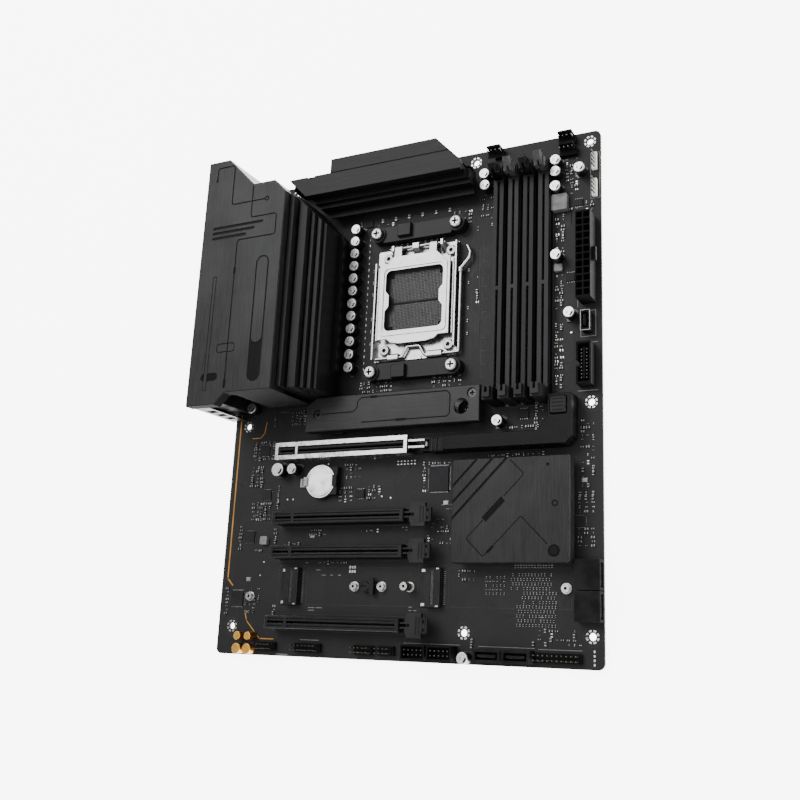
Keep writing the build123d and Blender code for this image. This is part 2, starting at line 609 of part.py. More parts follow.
# ---------------------------------------------------------------- flat heatsinks
m2_top = top + 12.5
m2_low = top + 6.2
m2_x0, m2_x1, m2_y0, m2_y1 = 61.7, 176.3, 131.8, 152.9
m2_screws = [(69.5, 142.5), (171.4, 148.4)]
with BuildPart() as m2_heatsink:
    with BuildSketch(board(m2_low)):
        outline((m2_x0, m2_y0), (m2_x1, m2_y0), (m2_x1, m2_y1), (m2_x0 + 7.2, m2_y1), (m2_x0, m2_y1 - 5.2))
        with Locations((row_mid, row_centre)):
            Circle(4.65, mode=Mode.SUBTRACT)
        with Locations(*m2_screws):
            Circle(1.5, mode=Mode.SUBTRACT)
    extrude(amount=m2_top - m2_low)
    chamfer(m2_heatsink.faces().sort_by(Axis.Z)[-1].outer_wire().edges(), 0.4)
    with BuildSketch(board(m2_top)):
        with Locations(*m2_screws):
            Circle(2.9)
    extrude(amount=-2.6, mode=Mode.SUBTRACT)
    # underside channels
    for x in range(84, 152, 8):
        box(x, m2_y0 + 3, m2_low, x + 3, m2_y1 - 3, m2_low + 2.4, Mode.SUBTRACT)
    groove(m2_top, 0.4, 0.7, [(71.4, 142.4), (94.6, 142.4), (97.4, 145.0), (97.4, 148.4), (99.6, 150.6),
                              (156.0, 150.6), (158.0, 148.6), (158.0, 137.4), (156.2, 135.6),
                              (100.6, 135.6)], 1.0)
    pocket(m2_top, 0.4, 105.6, 149.8, 110.8, 151.4, 0.75)
    pocket(m2_top, 0.4, 123.2, 134.8, 130.4, 136.4, 0.75)
write(m2_heatsink, "m2_heatsink")

with BuildPart() as m2_screws_node:
    with BuildSketch(board(m2_top - 2.6)):
        with Locations(*m2_screws):
            Circle(2.6)
    extrude(amount=1.6)
    with BuildSketch(board(m2_top - 1.0)):
        with Locations(*m2_screws):
            Rectangle(3.0, 0.8)
            Rectangle(0.8, 3.0)
    extrude(amount=-0.9, mode=Mode.SUBTRACT)
    with BuildSketch(board(top + 2.0)):
        with Locations(*m2_screws):
            Circle(1.2)
    extrude(amount=m2_top - 2.6 - top - 2.0)
write(m2_screws_node, "m2_heatsink_screws")

chip_x0, chip_x1, chip_y0, chip_y1 = 161.6, 229.4, 53.2, 110.0
chip_top, chip_low = top + 14.0, top + 3.6
with BuildPart() as chipset_heatsink:
    box(chip_x0, chip_y0, chip_low + 1.6, chip_x1, chip_y1, chip_top)
    chamfer(chipset_heatsink.edges().filter_by(Axis.Z), 0.8)
    chamfer(chipset_heatsink.faces().sort_by(Axis.Z)[-1].edges(), 0.5)
    box(182.0, 68.0, chip_low - 0.8, 209.0, 95.0, chip_low + 1.6)
    # edge fins on the sides
    for z in (chip_low + 3.6, chip_low + 6.0):
        box(chip_x0 - 1, chip_y0 - 1, z, chip_x0 + 2.6, chip_y1 + 1, z + 1.1, Mode.SUBTRACT)
        box(chip_x1 - 2.6, chip_y0 - 1, z, chip_x1 + 1, chip_y1 + 1, z + 1.1, Mode.SUBTRACT)
        box(chip_x0 - 1, chip_y0 - 1, z, chip_x1 + 1, chip_y0 + 2.6, z + 1.1, Mode.SUBTRACT)
    for reach, rise in ((16.0, 94.6), (25.2, 85.6), (33.6, 76.6)):
        groove(chip_top, 0.6, 1.5, [(chip_x0 - 1, rise - 1), (chip_x0 + reach, chip_y1 + 1)])
    groove(chip_top, 0.4, 0.6, [(195.8, 108.6), (204.0, 100.4), (192.4, 88.6)], 1.0)
    groove(chip_top, 0.4, 0.6, [(180.6, 76.0), (171.0, 66.2), (180.8, 56.4), (183.6, 59.0)], 1.0)
    groove(chip_top, 0.4, 0.6, [(187.2, 62.6), (202.4, 77.8), (217.4, 62.8)], 1.0)
    groove(chip_top, 0.4, 3.6, [(192.2, 87.4), (181.0, 76.2)])
    groove(chip_top, 0.4, 1.6, [(183.4, 58.6), (187.0, 62.2)])
    with BuildSketch(board(chip_top)):
        with Locations((220.9, 59.4)):
            Circle(3.3)
        with Locations((221.4, 84.2)):
            Circle(1.8)
            Circle(1.0, mode=Mode.SUBTRACT)
        with Locations((217.4, 105.0)):
            Circle(0.9)
    extrude(amount=-0.5, mode=Mode.SUBTRACT)
write(chipset_heatsink, "chipset_heatsink")

# ---------------------------------------------------------------- memory slots and latches
dimm_body_y0, dimm_body_y1 = 149.2, 279.0
cheek_y0, cheek_y1 = dimm_body_y1, dimm_y1
latch_w = 4.0
dimm_key_y = 211.4
for number, x in enumerate(dimm_xs, start=1):
    half = dimm_w / 2
    with BuildPart() as dimm_slot:
        box(x - half, dimm_y0, top, x + half, dimm_y1, top + dimm_h)
        box(x - half, dimm_y0, top + dimm_h, x + half, dimm_body_y0, top + dimm_tower_h - 2.5)
        box(x - half + 1.0, dimm_y0 + 1.0, top + dimm_tower_h - 2.5, x + half - 1.0, dimm_body_y0,
            top + dimm_tower_h)
        # groove for the module, broken by the key
        box(x - 0.75, dimm_body_y0 - 3.6, top + 2.0, x + 0.75, dimm_key_y - 1.1, top + 23, Mode.SUBTRACT)
        box(x - 0.75, dimm_key_y + 1.1, top + 2.0, x + 0.75, dimm_body_y1, top + dimm_h + 1, Mode.SUBTRACT)
        # side relief along the body
        for side in (-1, 1):
            edge = x + side * half
            box(min(edge, edge - side * 0.5), dimm_body_y0 + 3, top + 3.4, max(edge, edge - side * 0.5),
                dimm_body_y1 - 3, top + 5.6, Mode.SUBTRACT)
        # the latch end is two cheeks with a floor between them
        box(x - half, cheek_y0 + 1.4, top + dimm_h, x + half, cheek_y1, top + 11.5)
        box(x - latch_w / 2 - 0.35, cheek_y0 + 1.0, top + 0.8, x + latch_w / 2 + 0.35, cheek_y1 + 1, top + 12,
            Mode.SUBTRACT)
    write(dimm_slot, f"dimm_slot_{number}")

    with BuildPart() as dimm_latch:
        with BuildSketch(across(x - latch_w / 2)):
            with Locations((dimm_pivot_y, dimm_pivot_z)):
                Circle(2.3)
            outline((dimm_pivot_y - 2.3, dimm_pivot_z), (dimm_pivot_y + 2.3, dimm_pivot_z),
                    (dimm_pivot_y + 2.3, 13.0), (dimm_pivot_y + 4.0, top + dimm_tower_h - 1.5),
                    (dimm_pivot_y + 3.4, top + dimm_tower_h), (dimm_pivot_y + 0.6, top + dimm_tower_h),
                    (dimm_pivot_y - 3.4, top + dimm_tower_h - 4.5), (dimm_pivot_y - 3.4, 14.5),
                    (dimm_pivot_y - 2.3, 13.2))
        extrude(amount=latch_w)
        box(x - half + 0.2, dimm_pivot_y - 3.4, 15.0, x + half - 0.2, dimm_pivot_y + 2.2, 18.0)
        box(x - 0.75, dimm_pivot_y - 4, 14.0, x + 0.75, dimm_pivot_y - 1.4, 24, Mode.SUBTRACT)
    write(dimm_latch, f"dimm_latch_{number}")

# ---------------------------------------------------------------- expansion slots and latches
pivot_x, pivot_z = slot_x0 + slot_len + 4.6, 4.6
stem_half = 1.7
for number, y in enumerate(slot_ys, start=1):
    half = slot_w / 2
    end_x = slot_x0 + slot_len
    with BuildPart() as pcie_slot:
        box(slot_x0, y - half, top, end_x, y + half, top + slot_h)
        chamfer(pcie_slot.edges().group_by(Axis.Z)[-1], 0.4)
        for x0, x1 in ((slot_x0 + 2.2, slot_key_x - 0.9), (slot_key_x + 0.9, end_x - 2.2)):
            box(x0, y - 0.85, top + 2.6, x1, y + 0.85, top + 12, Mode.SUBTRACT)
            for side in (-1, 1):
                box(x0, y + side * 2.05 - 0.35, top + slot_h - 1.2, x1, y + side * 2.05 + 0.35, top + 12,
                    Mode.SUBTRACT)
        if number < 4:
            box(end_x, y - half, top, end_x + 8.4, y + half, top + 6.0)
            box(end_x + 0.8, y - stem_half - 0.35, top + 0.5, end_x + 9, y + stem_half + 0.35, top + 7,
                Mode.SUBTRACT)
        else:
            box(end_x, y - half, top, end_x + 13.4, y + half, top + 2.6)
            for side in (-1, 1):
                edge = y + side * half
                box(end_x + 7.4, min(edge, edge - side * 0.9), top + 2.6, end_x + 13.4,
                    max(edge, edge - side * 0.9), top + 7.4)
    write(pcie_slot, f"pcie_slot_{number}")

for number, y in enumerate(slot_ys[:3], start=1):
    with BuildPart() as pcie_latch:
        with BuildSketch(along(y - stem_half)):
            with Locations((pivot_x, pivot_z)):
                Circle(2.1)
            outline((pivot_x - 2.1, pivot_z), (pivot_x + 2.1, pivot_z), (pivot_x + 4.6, 10.6),
                    (pivot_x + 4.6, 12.8), (pivot_x - 3.6, 12.8), (pivot_x - 3.6, 10.6), (pivot_x - 2.1, 9.4))
        extrude(amount=-2 * stem_half)
        with BuildSketch(board(10.4)):
            outline((pivot_x - 0.6, y - 3.4), (pivot_x + 0.8, y - 6.6), (pivot_x + 9.2, y - 6.6),
                    (pivot_x + 9.2, y + 6.6), (pivot_x + 0.8, y + 6.6), (pivot_x - 0.6, y + 3.4))
            rectangle(pivot_x + 9.2, y - 3.9, pivot_x + 12.8, y + 3.9)
        extrude(amount=2.4)
        box(pivot_x - 4, y - 0.9, 9.0, pivot_x + 2.4, y + 0.9, 14, Mode.SUBTRACT)
        for side in (-1, 1):
            slot_y = y + side * 2.2
            box(pivot_x + 9.8, slot_y - 0.9, 11.8, pivot_x + 12.2, slot_y + 0.9, 14, Mode.SUBTRACT)
    write(pcie_latch, f"pcie_latch_{number}")

# the graphics slot's latch is a two-pronged fork inside the slot's open end
fork_pivot_x, fork_pivot_z = slot_x0 + slot_len + 10.4, 6.6
fork_y = slot_ys[3]
with BuildPart() as pcie_latch_4:
    for side in (-1, 1):
        with BuildSketch(along(fork_y + side * 1.9 - 0.6)):
            outline((slot_x0 + slot_len + 1.4, 11.4), (slot_x0 + slot_len + 1.4, 12.8),
                    (fork_pivot_x + 1.4, 12.8), (fork_pivot_x + 1.9, 6.0), (fork_pivot_x - 1.9, 5.6),
                    (fork_pivot_x - 2.4, 9.8))
        extrude(amount=-1.2)
    with BuildSketch(along(fork_y - 2.5)):
        with Locations((fork_pivot_x, fork_pivot_z)):
            Circle(1.5)
    extrude(amount=-5.0)
write(pcie_latch_4, "pcie_latch_4")

shield_half = 5.2
with BuildPart() as pcie_slot_shield:
    box(slot_x0 - 0.9, fork_y - shield_half, top, slot_x0 + slot_len + 0.9, fork_y + shield_half,
        top + slot_h + 0.7)
    box(slot_x0 - 0.1, fork_y - slot_w / 2 - 0.1, top, slot_x0 + slot_len + 0.1, fork_y + slot_w / 2 + 0.1,
        top + slot_h + 0.05, Mode.SUBTRACT)
    box(slot_x0 + slot_len - 1, fork_y - 4.0, top, slot_x0 + slot_len + 2, fork_y + 4.0, top + 9.0,
        Mode.SUBTRACT)
    for x0, x1 in ((slot_x0 + 1.2, slot_key_x - 0.8), (slot_key_x + 0.8, slot_x0 + slot_len - 1.2)):
        box(x0, fork_y - 2.6, top + 9, x1, fork_y + 2.6, top + 13, Mode.SUBTRACT)
write(pcie_slot_shield, "pcie_slot_shield")

# release mechanism for the graphics slot: a long bar that ends in a housing with a push button
bar_x0, bar_x1, bar_y0, bar_y1 = slot_x0 + slot_len + 14.0, 230.0, 116.4, 124.6
bar_top = top + 12.4
press = (217.9, 132.9, 227.1, 142.4)
press_floor = top + 2.2
with BuildPart() as pcie_release_bar:
    box(bar_x0, bar_y0, top, 154.0, bar_y1, top + 9.6)
    for x in (147.0, 149.4):
        box(x, bar_y0 - 1, top + 8.6, x + 0.9, bar_y1 + 1, top + 10, Mode.SUBTRACT)
    with BuildSketch(board(top + 1.0)):
        outline((154.0, bar_y0), (225.6, bar_y0), (bar_x1, bar_y0 + 4.4), (bar_x1, 144.2), (216.2, 144.2),
                (216.2, 131.6), (210.6, bar_y1), (154.0, bar_y1))
    extrude(amount=bar_top - top - 1.0)
    chamfer(pcie_release_bar.faces().sort_by(Axis.Z)[-1].edges(), 0.4)
    for x0, x1 in ((156.0, 164.0), (186.0, 194.0), (218.0, 226.0)):
        box(x0, bar_y0 + 2, top, x1, bar_y1 - 1.4, top + 1.0)
    with BuildSketch(board(press_floor)):
        rounded(press[0] - 0.4, press[1] - 0.4, press[2] + 0.4, press[3] + 0.4, 1.4)
    extrude(amount=through, mode=Mode.SUBTRACT)
write(pcie_release_bar, "pcie_release_bar")

press_travel = 3.0
press_low = press_floor + press_travel + 0.4
with BuildPart() as pcie_release_button:
    with BuildSketch(board(press_low)):
        rounded(*press, 1.2)
    extrude(amount=bar_top + 1.4 - press_low)
    fillet(pcie_release_button.edges().group_by(Axis.Z)[-1], 0.6)
write(pcie_release_button, "pcie_release_button")

# ---------------------------------------------------------------- coin cell
cell_x, cell_y, cell_r = 69.3, 102.8, 10.0
with BuildPart() as coin_cell:
    with BuildSketch(board(top + 1.6)):
        with Locations((cell_x, cell_y)):
            Circle(cell_r)
    extrude(amount=2.4)
    with BuildSketch(board(top + 4.0)):
        with Locations((cell_x, cell_y)):
            Circle(cell_r - 0.9)
    extrude(amount=0.8)
    fillet(coin_cell.edges().group_by(Axis.Z)[-1], 0.3)
write(coin_cell, "coin_cell")

with BuildPart() as coin_cell_holder:
    with BuildSketch(board(top)):
        with Locations((cell_x, cell_y)):
            Circle(cell_r + 0.4)
        rectangle(cell_x + 2.0, cell_y - 8.4, cell_x + 12.2, cell_y + 8.4)
    extrude(amount=1.6)
    with BuildSketch(board(top + 1.6)):
        rectangle(cell_x + 5.0, cell_y - 8.4, cell_x + 12.2, cell_y + 8.4)
        with Locations((cell_x, cell_y)):
            Circle(cell_r + 0.3, mode=Mode.SUBTRACT)
    extrude(amount=3.0)
    box(cell_x + 9.2, cell_y - 3.4, top + 5.0, cell_x + 12.2, cell_y + 3.4, top + 5.6)
    box(cell_x + 10.6, cell_y - 3.4, top + 4.6, cell_x + 12.2, cell_y + 3.4, top + 5.0)
    # spring clip on the other side
    box(cell_x - 16.0, cell_y - 2.6, top, cell_x - cell_r - 0.8, cell_y + 2.6, top + 0.8)
    box(cell_x - 11.6, cell_y - 2.6, top + 0.8, cell_x - cell_r - 0.8, cell_y + 2.6, top + 5.4)
    box(cell_x - cell_r - 0.8, cell_y - 2.6, top + 4.9, cell_x - cell_r + 1.8, cell_y + 2.6, top + 5.4)
write(coin_cell_holder, "coin_cell_holder")

# ---------------------------------------------------------------- M.2 connectors, standoffs and latch
m2_sockets = [(53.4, 40.6), (146.9, 40.6), (78.2, 142.4)]
with BuildPart() as m2_connectors:
    for x, y in m2_sockets:
        box(x - 4.6, y - 10.8, top, x + 4.6, y + 10.8, top + 4.0)
        box(x + 1.6, y - 9.9, top + 1.7, x + 5, y + 9.9, top + 2.7, Mode.SUBTRACT)
        box(x - 1.4, y - 9.4, top + 3.5, x + 0.6, y + 9.4, top + 5, Mode.SUBTRACT)
    for x, y in m2_sockets[:2]:
        box(x - 9.0, y - 10.8, top, x - 4.9, y + 10.8, top + 0.9)
write(m2_connectors, "m2_connectors")

low_posts = [(95.4, 40.8), (113.4, 40.8), (223.6, 40.8), (22.6, 34.4)]
tall_post = (131.3, 40.8)
post_bore = 0.8
latch_x, latch_y = 103.2, 40.8
with BuildPart() as m2_standoffs:
    with BuildSketch(board(top)):
        with Locations(*low_posts, tall_post, *m2_screws):
            Circle(2.9)
    extrude(amount=0.8)
    with BuildSketch(board(top + 0.8)):
        with Locations(*low_posts):
            Circle(2.3)
    extrude(amount=2.0)
    with BuildSketch(board(top + 0.8)):
        with Locations(tall_post):
            Circle(2.3)
    extrude(amount=8.0)
    with BuildSketch(board(top + 0.8)):
        with Locations(*m2_screws):
            Circle(2.5)
    extrude(amount=m2_low - top - 0.8)
    with BuildSketch(board(top)):
        with Locations(*low_posts, tall_post):
            Circle(post_bore)
    extrude(amount=through, mode=Mode.SUBTRACT)
    with BuildSketch(board(top)):
        with Locations(*m2_screws):
            Circle(1.25)
    extrude(amount=through, mode=Mode.SUBTRACT)
    # socket of the turning latch
    with BuildSketch(board(top)):
        with Locations((latch_x, latch_y)):
            Circle(3.2)
            Circle(1.3, mode=Mode.SUBTRACT)
    extrude(amount=1.8)
write(m2_standoffs, "m2_standoffs")

with BuildPart() as m2_latch:
    with BuildSketch(board(top)):
        with Locations((latch_x, latch_y)):
            Circle(1.0)
    extrude(amount=2.1)
    with BuildSketch(board(top + 2.1)):
        with Locations((latch_x, latch_y)):
            Circle(3.2)
        rectangle(latch_x, latch_y - 1.6, latch_x + 4.8, latch_y + 1.6)
        rounded(latch_x + 3.6, latch_y - 4.8, latch_x + 6.2, latch_y + 4.8, 0.8)
    extrude(amount=1.7)
    with BuildSketch(board(top + 3.8)):
        with Locations((latch_x, latch_y)):
            Rectangle(3.6, 0.8)
    extrude(amount=-0.7, mode=Mode.SUBTRACT)
write(m2_latch, "m2_latch")

# ---------------------------------------------------------------- power connectors
pitch = 4.2


def power_housing(x0, y0, x1, y1, cells_x, cells_y, height=12.8):
    """A wire-to-board power housing with square cells in a grid."""
    box(x0, y0, top, x1, y1, top + height)
    with BuildSketch(board(top + height)) as cells:
        with Locations(((x0 + x1) / 2, (y0 + y1) / 2)):
            with GridLocations(pitch, pitch, cells_x, cells_y):
                Rectangle(3.4, 3.4)
    extrude(cells.sketch, amount=-9.6, mode=Mode.SUBTRACT)


with BuildPart() as atx_power_connector:
    power_housing(232.2, 197.8, 240.8, 249.4, 2, 12)
    box(240.8, 219.6, top + 8.0, 243.2, 227.6, top + 10.0)
write(atx_power_connector, "atx_power_connector")

with BuildPart() as cpu_power_connectors:
    for x0 in (39.8, 58.4):
        power_housing(x0, 295.6, x0 + 17.6, 303.6, 4, 2, 12.0)
write(cpu_power_connectors, "cpu_power_connectors")

# ---------------------------------------------------------------- headers
# pin blocks: middle X, middle Y, pins along X, pins along Y
pin_pitch = 2.54
fan_rows = [(225.2, 293.4, 4, 1), (224.4, 301.0, 4, 1), (179.4, 300.4, 4, 1)]
rgb_rows = [(240.4, 284.6, 1, 4), (240.4, 267.8, 1, 4)]
usb2_rows = [(138.3, 5.4, 5, 2), (154.2, 5.4, 5, 2)]
open_rows = [(37.6, 5.4, 5, 2), (66.4, 5.4, 7, 2), (104.0, 5.4, 5, 2), (118.4, 5.4, 4, 2),
             (219.4, 5.2, 10, 2)]
pin_rows = fan_rows + rgb_rows + usb2_rows + open_rows

with BuildPart() as board_headers:
    for x, y, nx, ny in fan_rows:
        box(x - 5.2, y - 2.9, top, x + 5.2, y + 1.6, top + 3.2)
        box(x - 4.2, y + 1.6, top, x + 4.2, y + 2.9, top + 8.6)
    for x, y, nx, ny in usb2_rows:
        box(x - 7.3, y - 3.9, top, x + 7.3, y + 3.9, top + 8.8)
        box(x - 6.5, y - 3.1, top + 2.4, x + 6.5, y + 3.1, top + 9, Mode.SUBTRACT)
    for x, y, nx, ny in open_rows:
        half_x, half_y = nx * pin_pitch / 2, ny * pin_pitch / 2
        box(x - half_x, y - half_y, top, x + half_x, y + half_y, top + 2.5)
write(board_headers, "board_headers")

with BuildPart() as rgb_headers:
    for x, y, nx, ny in rgb_rows:
        box(x - 1.4, y - 5.3, top, x + 1.4, y + 5.3, top + 2.5)
write(rgb_headers, "rgb_headers")

with BuildPart() as header_pins:
    for x, y, nx, ny in pin_rows:
        with BuildSketch(board(top)):
            with Locations((x, y)):
                with GridLocations(pin_pitch, pin_pitch, nx, ny):
                    Rectangle(0.64, 0.64)
        extrude(amount=8.2)
write(header_pins, "header_pins")

with BuildPart() as front_usb_headers:
    # wide shrouded header with a keyed wall, then a small metal-shelled one
    box(231.4, 149.4, top, 239.8, 173.4, top + 9.0)
    box(232.4, 150.6, top + 2.0, 238.8, 172.2, top + 10, Mode.SUBTRACT)
    box(231.0, 159.6, top + 3.0, 232.8, 163.2, top + 10, Mode.SUBTRACT)
    box(235.0, 152.4, top + 2.0, 236.2, 170.4, top + 7.6)
    with BuildSketch(board(top)):
        rounded(233.2, 180.4, 238.6, 192.2, 1.0)
    extrude(amount=6.6)
    with BuildSketch(board(top + 6.6)):
        rounded(234.2, 181.6, 237.6, 191.0, 1.5)
        rectangle(235.4, 183.0, 236.4, 189.6, Mode.SUBTRACT)
    extrude(amount=-5.4, mode=Mode.SUBTRACT)
write(front_usb_headers, "front_usb_headers")

# ---------------------------------------------------------------- drive connectors
with BuildPart() as drive_connectors:
    for y0 in (23.7, 39.9):
        box(230.0, y0, top, 243.8, y0 + 15.6, top + 8.4)
        box(234.4, y0 + 1.3, top + 1.8, 244, y0 + 14.3, top + 6.6, Mode.SUBTRACT)
        box(234.4, y0 + 2.6, top + 3.6, 243.2, y0 + 13.0, top + 4.8)
    for x0 in (174.1, 190.4):
        box(x0, 1.8, top, x0 + 15.4, 8.4, top + 8.5)
        box(x0 + 1.2, 3.0, top + 1.6, x0 + 14.2, 7.2, top + 9, Mode.SUBTRACT)
        box(x0 + 2.4, 4.6, top + 1.6, x0 + 12.8, 5.7, top + 7.8)
write(drive_connectors, "drive_connectors")

# ---------------------------------------------------------------- capacitors, inductors and chips
can_h = 8.6
cap_column = [(86.4, 171.96 + 8.28 * i) for i in range(12)]
caps_63 = cap_column + [(173.9, 285.6), (174.4, 278.1), (218.7, 286.2), (218.7, 278.9), (218.7, 269.6),
                        (233.0, 278.9), (219.2, 226.9), (227.0, 191.4), (185.2, 132.4), (168.0, 3.5),
                        (50.9, 110.6), (17.2, 151.0)]
caps_8 = [(40.6, 110.6)]


def can_capacitors(places, radius, height):
    """Round cans standing on square bases with two cut corners."""
    half = radius + 0.15
    with BuildSketch(board(top)) as base:
        for x, y in places:
            outline((x - half, y - half), (x + half - 1.4, y - half), (x + half, y - half + 1.4),
                    (x + half, y + half - 1.4), (x + half - 1.4, y + half), (x - half, y + half))
    extrude(base.sketch, amount=0.9)
    with BuildSketch(board(top + 0.9)) as neck:
        with Locations(*places):
            Circle(radius - 0.35)
    extrude(neck.sketch, amount=0.5)
    with BuildSketch(board(top + 1.4)) as can:
        with Locations(*places):
            Circle(radius)
    extrude(can.sketch, amount=height - 1.4)


with BuildPart() as polymer_capacitors:
    can_capacitors(caps_63, 3.2, can_h)
    can_capacitors(caps_8, 4.1, can_h)
    fillet(polymer_capacitors.edges().filter_by(GeomType.CIRCLE).group_by(Axis.Z)[-1], 0.35)
write(polymer_capacitors, "polymer_capacitors")

with BuildPart() as audio_capacitors:
    can_capacitors([(19.2, 3.6), (26.6, 3.6)], 3.0, 6.6)
    can_capacitors([(19.2, 11.0), (26.6, 11.0)], 2.4, 6.6)
    fillet(audio_capacitors.edges().filter_by(GeomType.CIRCLE).group_by(Axis.Z)[-1], 0.3)
write(audio_capacitors, "audio_capacitors")

# chips: middle X, middle Y, size X, size Y, height
chips = [(147.3, 102.0, 12.4, 14.4, 1.4), (12.8, 33.0, 9.0, 9.0, 1.2), (29.0, 96.4, 6.0, 6.0, 1.0),
         (25.0, 124.6, 7.0, 7.0, 1.0), (95.6, 95.0, 6.0, 5.0, 1.2), (18.6, 70.4, 7.0, 7.0, 1.0),
         (225.8, 215.0, 5.0, 5.0, 0.9), (198.4, 137.0, 6.0, 5.0, 1.0), (231.0, 76.0, 6.0, 6.0, 1.0),
         (37.0, 152.6, 7.0, 7.0, 1.0), (230.6, 260.4, 5.0, 4.0, 0.9), (92.0, 269.0, 5.0, 5.0, 0.9)]
with BuildPart() as chip_packages:
    # bridge chip below the flat heatsink: its carrier and its die
    box(181.5, 67.5, top, 209.5, 95.5, top + 1.2)
    box(187.5, 73.5, top + 1.2, 203.5, 89.5, top + 2.8)
    for x, y, sx, sy, height in chips:
        box(x - sx / 2, y - sy / 2, top, x + sx / 2, y + sy / 2, top + height)
    for x, y in left_stages + top_stages:
        box(x - 2.5, y - 3.0, top, x + 2.5, y + 3.0, top + stage_h)
write(chip_packages, "chip_packages")
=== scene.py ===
"""Studio scene of a desktop computer motherboard: its finishes, small pieces, light and camera."""
import math
import random

import bpy
from mathutils import Euler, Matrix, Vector


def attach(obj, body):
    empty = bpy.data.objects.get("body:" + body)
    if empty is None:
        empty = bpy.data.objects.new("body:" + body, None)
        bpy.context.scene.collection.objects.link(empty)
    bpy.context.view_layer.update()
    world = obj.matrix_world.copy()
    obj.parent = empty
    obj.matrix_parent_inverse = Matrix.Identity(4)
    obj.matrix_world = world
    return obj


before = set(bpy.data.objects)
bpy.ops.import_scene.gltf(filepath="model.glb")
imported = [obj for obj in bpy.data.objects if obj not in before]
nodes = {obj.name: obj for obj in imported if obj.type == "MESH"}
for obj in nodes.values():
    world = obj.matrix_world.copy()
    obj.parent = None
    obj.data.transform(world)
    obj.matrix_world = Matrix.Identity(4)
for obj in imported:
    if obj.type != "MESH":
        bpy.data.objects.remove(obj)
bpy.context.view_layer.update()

random.seed(24)
datum = (10.16, 16.51)                 # board position of the part's origin, mm
top = 1.6                              # upper face of the circuit board, mm
skin = top + 0.03                      # height of anything printed or etched on the board
under = -0.03                          # depth of anything printed or etched below it
pin_pitch = 2.54
power_pitch = 4.2
atx_holes = [(10.16, 16.51), (10.16, 140.97), (33.02, 298.45), (165.1, 16.51), (165.1, 140.97),
             (165.1, 298.45), (237.49, 16.51), (237.49, 140.97), (237.49, 298.45)]
dimm_xs = (183.3, 192.7, 202.1, 211.5)
dimm_key_y = 211.4
card_slot_ys = (19.56, 60.2, 80.52)
slot_ys = card_slot_ys + (121.16,)
slot_key_x = 55.96
open_card_sockets = ((53.4, 40.6), (146.9, 40.6))
covered_card_socket = (78.2, 142.4)
drive_socket_xs = (174.1, 190.4)
cpu_power_xs = (42.3, 60.9)
jack_y, jack_zs = 155.4, (8.0, 20.1, 32.2)
socket_x, socket_y = 128.6, 212.4
can_column = [(86.4, 171.96 + 8.28 * i) for i in range(12)]


def spot(x, y, z=0.0):
    """Board millimetres to the part's own metres."""
    return ((x - datum[0]) / 1000, (y - datum[1]) / 1000, z / 1000)


# ---------------------------------------------------------------- camera
lens_data = bpy.data.cameras.new("camera")
camera = bpy.data.objects.new("camera", lens_data)
bpy.context.scene.collection.objects.link(camera)
camera.location = spot(373.463, 18.347, 476.196)
camera.rotation_euler = Euler([math.radians(a) for a in (14.6124, 23.8822, 1.8112)], "XYZ")
lens_data.sensor_width = 36
lens_data.lens = 41.52
lens_data.shift_x = -0.0758
lens_data.shift_y = 0.0018
lens_data.clip_start = 0.01
lens_data.clip_end = 50
bpy.context.scene.camera = camera


